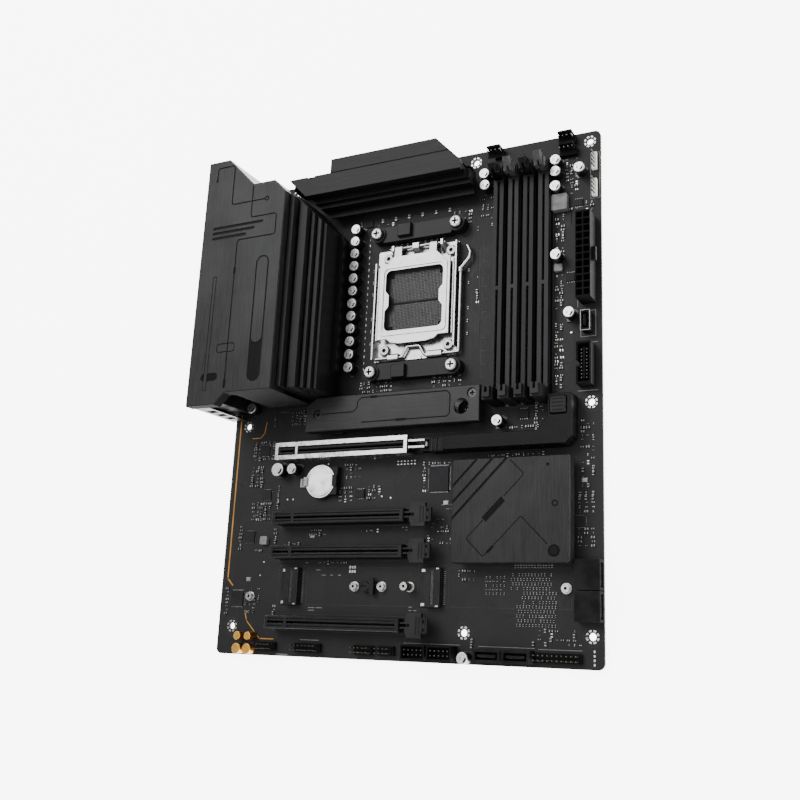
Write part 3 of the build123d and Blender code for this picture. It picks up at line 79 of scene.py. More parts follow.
# ---------------------------------------------------------------- shader helpers
class Shader:
    """A material under construction, measured in millimetres of the board."""

    def __init__(self, name, metallic=0.0, specular=0.5):
        self.material = bpy.data.materials.new(name)
        self.material.use_nodes = True
        self.tree = self.material.node_tree
        self.main = self.tree.nodes["Principled BSDF"]
        self.main.inputs["Metallic"].default_value = metallic
        self.main.inputs["Specular IOR Level"].default_value = specular
        self.place = self.new("ShaderNodeTexCoord").outputs["Object"]
        self.facing = self.new("ShaderNodeNewGeometry").outputs["Normal"]

    def new(self, kind, **settings):
        node = self.tree.nodes.new(kind)
        for key, value in settings.items():
            setattr(node, key, value)
        return node

    def join(self, a, b):
        self.tree.links.new(a, b)

    def feed(self, value, socket):
        """Sets a socket to a constant or joins it to another node's output."""
        if isinstance(value, bpy.types.NodeSocket):
            self.join(value, socket)
        else:
            socket.default_value = value

    def maths(self, operation, a, b=0.0, c=0.0):
        node = self.new("ShaderNodeMath", operation=operation)
        for value, socket in zip((a, b, c), node.inputs):
            self.feed(value, socket)
        return node.outputs[0]

    def noise(self, scale=(1.0, 1.0, 1.0), size=1.0, detail=4.0, rough=0.55):
        """Noise whose grain is about `size` mm, stretched by the scale along each axis."""
        mapping = self.new("ShaderNodeMapping")
        mapping.inputs["Scale"].default_value = [1000 / size / s for s in scale]
        self.join(self.place, mapping.inputs["Vector"])
        node = self.new("ShaderNodeTexNoise")
        node.inputs["Scale"].default_value = 1.0
        node.inputs["Detail"].default_value = detail
        node.inputs["Roughness"].default_value = rough
        self.join(mapping.outputs[0], node.inputs["Vector"])
        return node.outputs["Fac"]

    def spread(self, value, low, high, to_low=0.0, to_high=1.0):
        node = self.new("ShaderNodeMapRange")
        self.join(value, node.inputs["Value"])
        for name, number in (("From Min", low), ("From Max", high), ("To Min", to_low), ("To Max", to_high)):
            node.inputs[name].default_value = number
        return node.outputs["Result"]

    def mix(self, factor, a, b):
        """Blends two colours, each a triple or an output."""
        node = self.new("ShaderNodeMix", data_type="RGBA")
        self.feed(factor, node.inputs["Factor"])
        for value, socket in ((a, node.inputs["A"]), (b, node.inputs["B"])):
            self.feed(value if isinstance(value, bpy.types.NodeSocket) else (*value, 1.0), socket)
        return node.outputs["Result"]

    def part_of(self, source, axis):
        node = self.new("ShaderNodeSeparateXYZ")
        self.join(source, node.inputs[0])
        return node.outputs[axis]

    def below(self, height):
        """1 where a point lies lower than the height in mm."""
        return self.maths("LESS_THAN", self.part_of(self.place, "Z"), height / 1000)

    def upward(self):
        """1 on faces that look up."""
        return self.maths("GREATER_THAN", self.part_of(self.facing, "Z"), 0.9)

    def finish(self, colour, roughness, bump=None, strength=0.2, depth=0.02, edge=0.0, edge_highlight=None):
        """Joins colour, roughness and a bump of the given depth in mm, with softly rounded edges.

        A painted highlight colour shows on the rounded edges, where the rounded normal leaves the flat one."""
        self.feed(roughness, self.main.inputs["Roughness"])
        normal = None
        if edge:
            bevel = self.new("ShaderNodeBevel", samples=4)
            bevel.inputs["Radius"].default_value = edge / 1000
            normal = bevel.outputs[0]
            if edge_highlight is not None:
                # painted highlight: the edge colour is mixed in where the bevelled normal turns away from the
                # flat one
                match = self.new("ShaderNodeVectorMath", operation="DOT_PRODUCT")
                self.join(normal, match.inputs[0])
                self.join(self.facing, match.inputs[1])
                colour = self.mix(self.spread(match.outputs["Value"], 0.985, 0.85, 0.0, 0.8), colour, edge_highlight)
        self.feed(colour if isinstance(colour, bpy.types.NodeSocket) else (*colour, 1.0),
                  self.main.inputs["Base Color"])
        if bump is not None:
            node = self.new("ShaderNodeBump")
            node.inputs["Strength"].default_value = strength
            node.inputs["Distance"].default_value = depth / 1000
            self.join(bump, node.inputs["Height"])
            if normal is not None:
                self.join(normal, node.inputs["Normal"])
            normal = node.outputs[0]
        if normal is not None:
            self.join(normal, self.main.inputs["Normal"])
        return self.material


def brushed(name, dark, light, stretch, groove_shade_below=None, edge_highlight=(0.09, 0.09, 0.092), dull_shaded_end=False):
    """Brushed metal with its grain drawn out along one axis.

    Upward engraved floors below the given height get painted shade, near black; the optional near-end switch
    gives the wall across the near end painted shade too, and makes it rough and not metallic."""
    metallic = 0.75
    s = Shader(name, metallic=metallic, specular=0.2)
    grain = s.noise(stretch, 0.35, 6.0, 0.7)
    cloud = s.noise((1, 1, 1), 28.0, 3.0)
    tone = s.maths("ADD", s.maths("MULTIPLY", grain, 0.75), s.maths("MULTIPLY", cloud, 0.25))
    colour = s.mix(s.spread(tone, 0.36, 0.64), dark, light)
    roughness = s.spread(grain, 0.3, 0.7, 0.34, 0.55)
    if groove_shade_below is not None:
        # painted shade: upward faces below the engraving height turn near black
        groove_shade = s.maths("MULTIPLY", s.below(groove_shade_below), s.upward())
        colour = s.mix(groove_shade, colour, (0.003, 0.003, 0.003))
    if dull_shaded_end:
        # painted shade on the wall across the near end; it is also made rough and not metallic
        near = s.maths("LESS_THAN", s.part_of(s.facing, "Y"), -0.7)
        colour = s.mix(near, colour, (0.004, 0.004, 0.004))
        roughness = s.maths("MAXIMUM", roughness, s.maths("MULTIPLY", near, 0.9))
        s.feed(s.maths("MULTIPLY", s.maths("SUBTRACT", 1.0, near), metallic), s.main.inputs["Metallic"])
    return s.finish(colour, roughness, grain, 0.25, 0.02, 0.3, edge_highlight)


def plastic(name, dark, light, rough=(0.38, 0.55), grain=0.25, edge=0.2, shade_below=None, specular=0.16,
            edge_highlight=None):
    """Moulded plastic with a fine spark-eroded grain and faint dust; below a given height its colour gets
    painted shade.
    """
    s = Shader(name, specular=specular)
    fine = s.noise((1, 1, 1), grain, 4.0, 0.6)
    cloud = s.noise((1, 1, 1), 9.0, 4.0)
    colour = s.mix(s.spread(cloud, 0.35, 0.65), dark, light)
    if shade_below is not None:
        # painted shade: below the given height the colour falls to a third of the dark tone
        colour = s.mix(s.below(shade_below), colour, tuple(c * 0.35 for c in dark))
    roughness = s.spread(s.maths("ADD", fine, s.maths("MULTIPLY", cloud, 0.5)), 0.5, 1.0, *rough)
    return s.finish(colour, roughness, fine, 0.18, 0.02, edge, edge_highlight)


def metal(name, dark, light, rough, size, recess=None):
    """Plated or rolled metal with soft smudges and fine scratches; upward recess floors below a height get
    painted shade, near black.
    """
    s = Shader(name, metallic=1.0)
    smudge = s.noise((1, 1, 1), size, 5.0)
    scratch = s.noise((9, 0.6, 1), 0.3, 4.0, 0.7)
    blend = s.maths("ADD", s.maths("MULTIPLY", smudge, 0.7), s.maths("MULTIPLY", scratch, 0.3))
    colour = s.mix(s.spread(blend, 0.36, 0.64), dark, light)
    if recess is not None:
        # painted shade: upward faces below the recess height turn near black
        colour = s.mix(s.maths("MULTIPLY", s.below(recess), s.upward()), colour, (0.01, 0.01, 0.01))
    return s.finish(colour, s.spread(smudge, 0.3, 0.7, *rough), scratch, 0.08, 0.01, 0.15)


# ---------------------------------------------------------------- materials
def board_finish():
    """Black solder mask: faint copper pours and glass weave below it, and a brown laminate edge."""
    s = Shader("solder_mask", specular=0.22)
    weave_x = s.maths("SINE", s.maths("MULTIPLY", s.part_of(s.place, "X"), 9000.0))
    weave_y = s.maths("SINE", s.maths("MULTIPLY", s.part_of(s.place, "Y"), 9000.0))
    weave = s.maths("MULTIPLY", weave_x, weave_y)
    voronoi = s.new("ShaderNodeTexVoronoi", distance="MANHATTAN", feature="F1")
    voronoi.inputs["Scale"].default_value = 48.0
    s.join(s.place, voronoi.inputs["Vector"])
    pours = s.maths("GREATER_THAN", s.part_of(voronoi.outputs["Color"], "X"), 0.62)
    cloud = s.noise((1, 1, 1), 35.0, 3.0)
    mask = s.mix(s.maths("MULTIPLY", pours, 0.5), (0.0072, 0.0072, 0.0073), (0.0105, 0.0105, 0.0106))
    mask = s.mix(s.spread(cloud, 0.35, 0.65, 0.0, 0.35), mask, (0.0115, 0.0115, 0.0118))
    side = s.maths("LESS_THAN", s.maths("ABSOLUTE", s.part_of(s.facing, "Z")), 0.5)
    colour = s.mix(side, mask, (0.03, 0.026, 0.018))
    height = s.maths("ADD", s.maths("MULTIPLY", pours, 0.6), s.maths("MULTIPLY", weave, 0.12))
    grain = s.noise((1, 1, 1), 0.5, 3.0)
    return s.finish(colour, s.spread(grain, 0.3, 0.7, 0.5, 0.64), height, 0.12, 0.02, 0.15)


def capacitor_finish(name, top_dark, top_light, sleeve, split, base_top):
    """An aluminium can: bright lid, sleeve below the split height, black base."""
    s = Shader(name, metallic=0.9)
    spin = s.noise((1, 1, 1), 0.5, 5.0, 0.7)
    lid = s.mix(s.spread(spin, 0.35, 0.65), top_dark, top_light)
    colour = s.mix(s.below(split), lid, sleeve)
    colour = s.mix(s.below(base_top), colour, (0.012, 0.012, 0.013))
    shiny = s.maths("SUBTRACT", 0.95, s.maths("MULTIPLY", s.below(base_top), 0.9))
    s.join(shiny, s.main.inputs["Metallic"])
    return s.finish(colour, s.spread(spin, 0.3, 0.7, 0.22, 0.4), spin, 0.08, 0.02, 0.2)


def heatsink_fins(name, stretch):
    """Extruded black aluminium whose low channels get painted shade, falling to near black."""
    s = Shader(name, metallic=0.7, specular=0.2)
    grain = s.noise(stretch, 0.35, 6.0, 0.7)
    height = s.part_of(s.place, "Z")
    colour = s.mix(s.spread(grain, 0.36, 0.64), (0.0078, 0.008, 0.0079), (0.0225, 0.023, 0.0226))
    # painted shade: the colour darkens towards near black in the low channels between the fins
    channel_shade = s.spread(height, 0.012, 0.026, 0.55, 0.0)
    colour = s.mix(channel_shade, colour, (0.003, 0.003, 0.003))
    return s.finish(colour, s.spread(grain, 0.3, 0.7, 0.36, 0.56), grain, 0.2, 0.02, 0.25)


def thermal_finish():
    s = Shader("thermal_pad", specular=0.2)
    lumps = s.noise((1, 1, 1), 0.8, 5.0, 0.65)
    colour = s.mix(s.spread(lumps, 0.35, 0.65), (0.24, 0.25, 0.29), (0.36, 0.37, 0.41))
    return s.finish(colour, s.spread(lumps, 0.3, 0.7, 0.75, 0.95), lumps, 0.4, 0.05)


def ferrite_finish():
    s = Shader("ferrite", specular=0.4)
    grit = s.noise((1, 1, 1), 0.4, 6.0, 0.7)
    cloud = s.noise((1, 1, 1), 5.0, 3.0)
    colour = s.mix(s.spread(cloud, 0.35, 0.65), (0.1, 0.1, 0.1), (0.19, 0.19, 0.19))
    return s.finish(colour, s.spread(grit, 0.3, 0.7, 0.5, 0.75), grit, 0.35, 0.03, 0.3)


mask_finish = board_finish()
cover_finish = brushed("cover_anodised", (0.011, 0.0113, 0.0112), (0.034, 0.0345, 0.0342), (1, 60, 1),
                       groove_shade_below=49.75, dull_shaded_end=True)
m2_finish = brushed("m2_anodised", (0.015, 0.0153, 0.015), (0.035, 0.0356, 0.035), (50, 1, 1), groove_shade_below=13.85)
chipset_finish = brushed("chipset_anodised", (0.01, 0.0102, 0.01), (0.028, 0.0285, 0.028), (1, 40, 1),
                         groove_shade_below=15.35)
rear_fins = heatsink_fins("rear_fins", (1, 60, 1))
top_fins = heatsink_fins("top_fins", (60, 1, 1))
bar_finish = brushed("bar_anodised", (0.0035, 0.0035, 0.0035), (0.009, 0.009, 0.009), (50, 1, 1),
                    edge_highlight=(0.05, 0.05, 0.05))
button_finish = brushed("button_anodised", (0.008, 0.008, 0.008), (0.018, 0.018, 0.018), (1, 20, 1))
shield_finish = plastic("shield_paint", (0.008, 0.008, 0.009), (0.016, 0.016, 0.018), (0.3, 0.48), 0.3)
backplate_finish = plastic("backplate_paint", (0.008, 0.008, 0.009), (0.015, 0.015, 0.017), (0.35, 0.5), 0.4)
frame_steel = metal("socket_frame_steel", (0.2, 0.2, 0.2), (0.42, 0.42, 0.42), (0.22, 0.4), 3.0)
plate_steel = metal("load_plate_steel", (0.2, 0.2, 0.198), (0.42, 0.42, 0.415), (0.22, 0.42), 6.0)
lever_steel = metal("lever_steel", (0.28, 0.28, 0.28), (0.5, 0.5, 0.5), (0.14, 0.3), 2.0)
screw_steel = metal("screw_steel", (0.22, 0.22, 0.22), (0.46, 0.46, 0.46), (0.18, 0.35), 1.0)
cooler_screw = metal("cooler_screw", (0.14, 0.14, 0.14), (0.38, 0.38, 0.38), (0.16, 0.34), 1.0, recess=10.5)
frame_screw = metal("frame_screw", (0.16, 0.16, 0.16), (0.36, 0.36, 0.36), (0.18, 0.35), 1.0, recess=4.6)
dark_screw = metal("dark_screw", (0.02, 0.02, 0.02), (0.06, 0.06, 0.06), (0.25, 0.42), 1.0, recess=12.5)
port_steel = metal("port_steel", (0.42, 0.43, 0.45), (0.68, 0.69, 0.71), (0.18, 0.34), 3.0)
slot_steel = metal("slot_shield_steel", (0.4, 0.4, 0.4), (0.68, 0.68, 0.68), (0.2, 0.38), 3.0)
fork_steel = metal("fork_steel", (0.3, 0.3, 0.32), (0.5, 0.5, 0.53), (0.25, 0.45), 2.0)
cell_steel = metal("cell_steel", (0.66, 0.67, 0.69), (0.86, 0.86, 0.87), (0.24, 0.42), 5.0)
tin = metal("tin", (0.34, 0.34, 0.33), (0.6, 0.6, 0.58), (0.22, 0.42), 0.6)
lead_tin = metal("lead_tin", (0.12, 0.12, 0.12), (0.34, 0.34, 0.34), (0.28, 0.5), 0.7)
gold = metal("gold", (0.62, 0.42, 0.14), (0.86, 0.64, 0.28), (0.2, 0.36), 0.5)
pin_metal = metal("pin_metal", (0.05, 0.048, 0.042), (0.13, 0.125, 0.11), (0.28, 0.45), 0.5)
dull_gold = metal("spring_metal", (0.085, 0.085, 0.082), (0.15, 0.15, 0.145), (0.32, 0.5), 0.5)
brass_post = metal("post_nickel", (0.3, 0.3, 0.29), (0.56, 0.55, 0.53), (0.2, 0.36), 1.0)
black_plastic = plastic("black_plastic", (0.004, 0.004, 0.0045), (0.009, 0.009, 0.01))
slot_black = plastic("slot_black", (0.0035, 0.0035, 0.004), (0.008, 0.008, 0.009), shade_below=5.0,
                     edge_highlight=(0.03, 0.03, 0.03))
slot_grey = plastic("slot_grey", (0.009, 0.009, 0.01), (0.017, 0.017, 0.019), shade_below=5.0,
                    edge_highlight=(0.06, 0.06, 0.06))
pcie_black = plastic("pcie_black", (0.005, 0.005, 0.0055), (0.01, 0.01, 0.011), shade_below=8.0,
                     edge_highlight=(0.07, 0.07, 0.07))
latch_grey = plastic("latch_grey", (0.009, 0.009, 0.009), (0.017, 0.017, 0.017), edge_highlight=(0.05, 0.05, 0.05))
latch_pale = plastic("latch_pale", (0.045, 0.045, 0.045), (0.065, 0.065, 0.065), edge_highlight=(0.12, 0.12, 0.12))
socket_plastic = plastic("socket_plastic", (0.012, 0.012, 0.013), (0.022, 0.022, 0.024), (0.45, 0.6))
bracket_plastic = plastic("bracket_plastic", (0.004, 0.004, 0.0045), (0.009, 0.009, 0.01), (0.35, 0.5))
header_plastic = plastic("header_plastic", (0.003, 0.003, 0.003), (0.006, 0.006, 0.006), (0.55, 0.72),
                         specular=0.05, edge_highlight=(0.03, 0.03, 0.03))
drive_plastic = plastic("drive_plastic", (0.01, 0.01, 0.01), (0.018, 0.018, 0.018), (0.6, 0.75),
                        specular=0.0, edge_highlight=(0.08, 0.08, 0.08))
card_plastic = plastic("card_socket_plastic", (0.006, 0.006, 0.006), (0.014, 0.014, 0.014),
                       edge_highlight=(0.08, 0.08, 0.08))
white_plastic = plastic("white_plastic", (0.55, 0.55, 0.53), (0.7, 0.7, 0.68), (0.4, 0.55))
resin = plastic("chip_resin", (0.006, 0.006, 0.007), (0.012, 0.012, 0.0135), (0.5, 0.68), 0.15)
can_finish = capacitor_finish("can_aluminium", (0.34, 0.34, 0.34), (0.68, 0.68, 0.68),
                              (0.035, 0.035, 0.036), 8.9, 2.6)
gold_can = capacitor_finish("gold_can", (0.56, 0.25, 0.03), (0.9, 0.54, 0.12), (0.5, 0.2, 0.015), 7.4, 2.6)
thermal_pad = thermal_finish()
ferrite = ferrite_finish()
ink = plastic("marking_ink", (0.13, 0.13, 0.13), (0.2, 0.2, 0.2), (0.6, 0.75), 0.4, edge=0)
faint_ink = plastic("faint_ink", (0.024, 0.024, 0.0245), (0.042, 0.042, 0.043), (0.6, 0.75), 0.4, edge=0)
copper_line = plastic("masked_copper", (0.011, 0.011, 0.0113), (0.016, 0.016, 0.0164), (0.4, 0.5), 0.5,
                      edge=0)
amber_line = plastic("amber_line", (0.28, 0.13, 0.025), (0.42, 0.2, 0.04), (0.45, 0.6), 0.6, edge=0)
part_brown = plastic("part_ceramic", (0.04, 0.034, 0.029), (0.075, 0.064, 0.054), (0.4, 0.55), 0.2, edge=0)
part_black = plastic("part_black", (0.004, 0.004, 0.0045), (0.01, 0.01, 0.011), (0.4, 0.6), 0.2, edge=0)
tongue_blue = plastic("tongue_plastic", (0.02, 0.06, 0.16), (0.03, 0.09, 0.22), (0.35, 0.5), 0.3)
jack_ring = plastic("jack_ring", (0.05, 0.05, 0.055), (0.08, 0.08, 0.085), (0.3, 0.45), 0.3)

finishes = {
    "circuit_board": mask_finish,
    "cooler_backplate": backplate_finish,
    "socket_body": socket_plastic,
    "socket_frame": frame_steel,
    "socket_frame_screws": frame_screw,
    "load_plate": plate_steel,
    "load_lever": lever_steel,
    "cooler_bracket_lower": bracket_plastic,
    "cooler_bracket_upper": bracket_plastic,
    "cooler_screws": cooler_screw,
    "chokes": ferrite,
    "thermal_pads": thermal_pad,
    "vrm_heatsink_rear": rear_fins,
    "vrm_heatsink_top": top_fins,
    "rear_ports": port_steel,
    "network_port": port_steel,
    "audio_jacks": black_plastic,
    "antenna_posts": gold,
    "rear_button_block": black_plastic,
    "bios_button": latch_grey,
    "clear_button": latch_grey,
    "io_shield": shield_finish,
    "io_cover": cover_finish,
    "m2_heatsink": m2_finish,
    "m2_heatsink_screws": dark_screw,
    "chipset_heatsink": chipset_finish,
    "pcie_latch_4": fork_steel,
    "pcie_slot_shield": slot_steel,
    "pcie_release_bar": bar_finish,
    "pcie_release_button": button_finish,
    "coin_cell": cell_steel,
    "coin_cell_holder": black_plastic,
    "m2_connectors": card_plastic,
    "m2_standoffs": brass_post,
    "m2_latch": black_plastic,
    "atx_power_connector": header_plastic,
    "cpu_power_connectors": header_plastic,
    "board_headers": header_plastic,
    "rgb_headers": white_plastic,
    "header_pins": pin_metal,
    "front_usb_headers": header_plastic,
    "drive_connectors": drive_plastic,
    "polymer_capacitors": can_finish,
    "audio_capacitors": gold_can,
    "chip_packages": resin,
}
for i in range(1, 5):
    finishes[f"dimm_slot_{i}"] = slot_black if i % 2 else slot_grey
    finishes[f"dimm_latch_{i}"] = black_plastic if i % 2 else latch_pale
    finishes[f"pcie_slot_{i}"] = pcie_black
for i in range(1, 4):
    finishes[f"pcie_latch_{i}"] = latch_grey
for name, finish in finishes.items():
    nodes[name].data.materials.clear()
    nodes[name].data.materials.append(finish)


# ---------------------------------------------------------------- small pieces
class Pieces:
    """Gathers small shapes, given in board millimetres, into one mesh."""

    def __init__(self):
        self.points = []
        self.faces = []

    def prism(self, outline, z0, z1):
        """An upright prism over an anticlockwise outline."""
        start, n = len(self.points), len(outline)
        self.points += [spot(x, y, z0) for x, y in outline] + [spot(x, y, z1) for x, y in outline]
        self.faces.append([start + i for i in reversed(range(n))])
        self.faces.append([start + n + i for i in range(n)])
        for i in range(n):
            j = (i + 1) % n
            self.faces.append([start + i, start + j, start + n + j, start + n + i])

    def box(self, x0, y0, z0, x1, y1, z1):
        self.prism([(x0, y0), (x1, y0), (x1, y1), (x0, y1)], z0, z1)

    def block(self, x, y, sx, sy, z0, z1):
        self.box(x - sx / 2, y - sy / 2, z0, x + sx / 2, y + sy / 2, z1)

    def disc(self, x, y, r, z0, z1, sides=16):
        turn = [2 * math.pi * i / sides for i in range(sides)]
        self.prism([(x + r * math.cos(a), y + r * math.sin(a)) for a in turn], z0, z1)

    def arc(self, x, y, r0, r1, start, sweep, z0, z1, steps=6):
        """A piece of a flat ring, angles in degrees."""
        turn = [math.radians(start + sweep * i / steps) for i in range(steps + 1)]
        for a, b in zip(turn, turn[1:]):
            corners = ((r0, a), (r1, a), (r1, b), (r0, b))
            self.prism([(x + r * math.cos(t), y + r * math.sin(t)) for r, t in corners], z0, z1)

    def line(self, path, width, z0, z1):
        """A flat strip along a path of points."""
        for (ax, ay), (bx, by) in zip(path, path[1:]):
            length = math.hypot(bx - ax, by - ay)
            ux, uy = (bx - ax) / length, (by - ay) / length
            nx, ny = -uy * width / 2, ux * width / 2
            ax, ay = ax - ux * width / 2, ay - uy * width / 2
            bx, by = bx + ux * width / 2, by + uy * width / 2
            corners = [(ax - nx, ay - ny), (bx - nx, by - ny), (bx + nx, by + ny), (ax + nx, ay + ny)]
            self.prism(corners, z0, z1)

    def frame(self, x0, y0, x1, y1, width, z0, z1):
        """A rectangle drawn as four strips."""
        self.box(x0, y0, z0, x1, y0 + width, z1)
        self.box(x0, y1 - width, z0, x1, y1, z1)
        self.box(x0, y0 + width, z0, x0 + width, y1 - width, z1)
        self.box(x1 - width, y0 + width, z0, x1, y1 - width, z1)

    def upright(self, outline, y0, y1):
        """A prism along Y over an outline of (X, height)."""
        start, n = len(self.points), len(outline)
        self.points += [spot(x, y0, z) for x, z in outline] + [spot(x, y1, z) for x, z in outline]
        self.faces.append([start + i for i in range(n)])
        self.faces.append([start + n + i for i in reversed(range(n))])
        for i in range(n):
            j = (i + 1) % n
            self.faces.append([start + j, start + i, start + n + i, start + n + j])

    def tube(self, x0, x1, y, z, r0, r1, sides=24):
        """A ring lying along X."""
        for i in range(sides):
            a, b = 2 * math.pi * i / sides, 2 * math.pi * (i + 1) / sides
            start = len(self.points)
            for x in (x0, x1):
                for r, t in ((r0, a), (r1, a), (r1, b), (r0, b)):
                    self.points.append(spot(x, y + r * math.cos(t), z + r * math.sin(t)))
            quads = ((0, 3, 2, 1), (4, 5, 6, 7), (1, 2, 6, 5), (3, 0, 4, 7))
            self.faces += [[start + k for k in quad] for quad in quads]

    def build(self, name, material, slot, body="board"):
        mesh = bpy.data.meshes.new(name)
        mesh.from_pydata(self.points, [], self.faces)
        mesh.materials.append(material)
        piece = bpy.data.objects.new(name, mesh)
        bpy.context.scene.collection.objects.link(piece)
        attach(piece, body)
        return piece


# plated segments round each mounting hole, on both faces
rings = Pieces()
for x, y in atx_holes:
    for i in range(8):
        rings.arc(x, y, 2.6, 3.6, 45 * i + 9, 27, top, skin, 3)
        rings.arc(x, y, 2.5, 3.9, 45 * i + 8, 29, under, 0.0, 3)
rings.build("hole_pads", tin, "board")

# faint printed lines: circles round the holes, outlines of slots and sockets, strokes beside them
faint = Pieces()
for x in dimm_xs:
    faint.frame(x - 4.0, 140.8, x + 4.0, 289.2, 0.25, top, skin)
for y in card_slot_ys:
    faint.frame(40.2, y - 4.9, 140.4, y + 4.9, 0.25, top, skin)
faint.frame(42.0, 28.6, 60.4, 52.8, 0.2, top, skin)
faint.frame(136.0, 28.6, 154.0, 52.8, 0.2, top, skin)
faint.frame(62.0, 30.0, 134.0, 51.6, 0.2, top, skin)
faint.frame(155.0, 30.0, 226.4, 51.6, 0.2, top, skin)
faint.line([(92.4, 165.0), (92.4, 262.0), (100.0, 269.6), (158.0, 269.6), (164.4, 263.2), (164.4, 165.0)],
           0.3, top, skin)
for i in range(12):
    faint.box(170.9, 152.0 + 8.0 * i, top, 174.1, 152.9 + 8.0 * i, skin)
    faint.box(170.9, 152.9 + 8.0 * i, top, 171.6, 155.2 + 8.0 * i + 2.4 * (i % 3), skin)
faint.frame(167.4, 180.0, 171.0, 196.0, 0.3, top, skin)
faint.line([(169.2, 200.0), (169.2, 240.0)], 0.5, top, skin)
faint.line([(62.0, 128.8), (160.0, 128.8)], 0.4, top, skin)
for x, y in atx_holes:
    faint.arc(x, y, 5.1, 5.26, 0, 360, top, skin, 40)
faint.build("faint_print", faint_ink, "board")

# brighter printed marks: short strokes, bars along the connectors, and arcs round the cans
marks = Pieces()
for x, y, sx, sy in ((64.0, 47.0, 12.0, 6.0), (78.2, 47.0, 8.0, 6.0), (64.0, 26.6, 16.0, 3.0),
                     (127.8, 27.6, 9.0, 3.6), (149.0, 84.4, 9.0, 4.6), (122.0, 72.8, 7.0, 3.0),
                     (203.0, 24.0, 9.0, 3.0)):
    for row in range(2):
        for column in range(3):
            if random.random() < 0.6:
                x0 = x + sx * column / 3
                y0 = y + sy * row / 2
                marks.box(x0, y0, top, x0 + sx / 3 - 1.0, y0 + 0.45, skin)
for x0, y0, x1, y1 in ((43.6, 0.8, 52.0, 1.3), (60.0, 9.6, 73.0, 10.0), (128.4, 9.9, 163.0, 10.2),
                       (208.0, 9.2, 232.0, 9.5), (174.0, 9.6, 206.0, 9.9), (229.6, 196.4, 230.0, 250.8),
                       (229.8, 147.4, 241.4, 147.8), (229.8, 175.0, 241.4, 175.4)):
    marks.box(x0, y0, top, x1, y1, skin)
marks.frame(231.4, 178.6, 240.4, 194.0, 0.35, top, skin)
marks.frame(237.6, 261.6, 243.2, 290.8, 0.3, top, skin)
for x, y in can_column:
    marks.arc(x, y, 3.75, 4.1, 100, 160, top, skin, 10)
for x, y, r in ((173.9, 285.6, 4.0), (218.7, 286.2, 4.0), (227.0, 191.4, 4.0), (185.2, 132.4, 4.0),
                (50.9, 110.6, 4.0), (40.6, 110.6, 4.9)):
    marks.arc(x, y, r, r + 0.3, 40, 150, top, skin, 12)
marks.build("printed_marks", ink, "board")

# tracks seen faintly through the mask: bundles of parallel lines with 45 degree bends
tracks = Pieces()


def bundle(path, count, step, width=0.32):
    """Copies of one path side by side, moved along (step)."""
    for i in range(count):
        tracks.line([(x + step[0] * i, y + step[1] * i) for x, y in path], width, top, top + 0.018)


bundle([(152.0, 196.0), (160.0, 196.0), (170.0, 186.0), (180.0, 186.0)], 14, (0.0, 0.9))
bundle([(152.0, 222.0), (162.0, 222.0), (168.0, 228.0), (180.0, 228.0)], 16, (0.0, 0.9))
bundle([(110.0, 168.0), (110.0, 160.0), (102.0, 152.0), (102.0, 127.0)], 14, (0.8, 0.0))
bundle([(140.0, 168.0), (140.0, 158.0), (150.0, 148.0), (150.0, 126.0)], 10, (0.8, 0.0))
bundle([(84.0, 116.0), (96.0, 104.0), (118.0, 104.0), (128.0, 114.0), (128.0, 116.0)], 9, (0.0, -0.8))
bundle([(158.0, 72.0), (148.0, 62.0), (148.0, 54.0)], 8, (-0.8, 0.0))
bundle([(60.0, 92.0), (72.0, 92.0), (76.0, 88.0), (130.0, 88.0)], 8, (0.0, 0.8))
bundle([(60.0, 67.0), (128.0, 67.0), (134.0, 73.0)], 7, (0.0, 0.8))
bundle([(36.0, 132.0), (36.0, 122.0), (30.0, 116.0), (30.0, 100.0)], 6, (-0.8, 0.0))
bundle([(12.0, 132.0), (12.0, 108.0), (7.0, 103.0), (7.0, 60.0)], 5, (0.9, 0.0))
bundle([(218.0, 160.0), (222.0, 164.0), (222.0, 205.0)], 7, (0.8, 0.0))
bundle([(218.0, 240.0), (226.0, 248.0), (226.0, 256.0)], 6, (0.0, 0.8))
bundle([(170.0, 46.0), (190.0, 26.0), (190.0, 14.0)], 9, (0.9, 0.0))
bundle([(206.0, 50.0), (222.0, 34.0), (228.0, 34.0)], 6, (0.0, -0.9))
tracks.build("masked_tracks", copper_line, "board")

# amber separation line of the audio corner
amber = Pieces()
amber.line([(4.0, 151.0), (4.0, 45.0), (8.0, 41.0)], 0.9, top, skin)
amber.line([(19.0, 25.0), (20.5, 20.0), (28.5, 12.0), (31.0, 9.6), (41.0, 9.6)], 0.6, top, skin)
amber.line([(24.0, 143.0), (23.0, 136.0), (20.0, 133.0), (14.0, 133.0)], 0.5, top, skin)
amber.build("amber_line", amber_line, "board")

# vias
vias = Pieces()
for _ in range(900):
    x, y = random.uniform(4, 240), random.uniform(4, 300)
    if min(math.hypot(x - hx, y - hy) for hx, hy in atx_holes) > 6:
        vias.disc(x, y, 0.22, top, top + 0.02, 8)
for _ in range(500):
    x, y = random.uniform(4, 240), random.uniform(4, 300)
    if min(math.hypot(x - hx, y - hy) for hx, hy in atx_holes) > 6:
        vias.disc(x, y, 0.25, -0.02, 0.0, 8)
vias.build("vias", faint_ink, "board")

# surface-mount parts: end caps, brown and black bodies, and bare pads
ends, brown, black, pads = Pieces(), Pieces(), Pieces(), Pieces()


def chip_part(x, y, long, wide, high, upright, body):
    """A two-ended part: a body with a metal cap at each end."""
    cap = long * 0.24
    if upright:
        body.block(x, y, wide * 0.96, long - 2 * cap, top, top + high)
        for side in (-1, 1):
            ends.block(x, y + side * (long - cap) / 2, wide, cap, top, top + high + 0.03)
    else:
        body.block(x, y, long - 2 * cap, wide * 0.96, top, top + high)
        for side in (-1, 1):
            ends.block(x + side * (long - cap) / 2, y, cap, wide, top, top + high + 0.03)


part_sizes = ((1.6, 0.8), (1.0, 0.5), (2.0, 1.2))


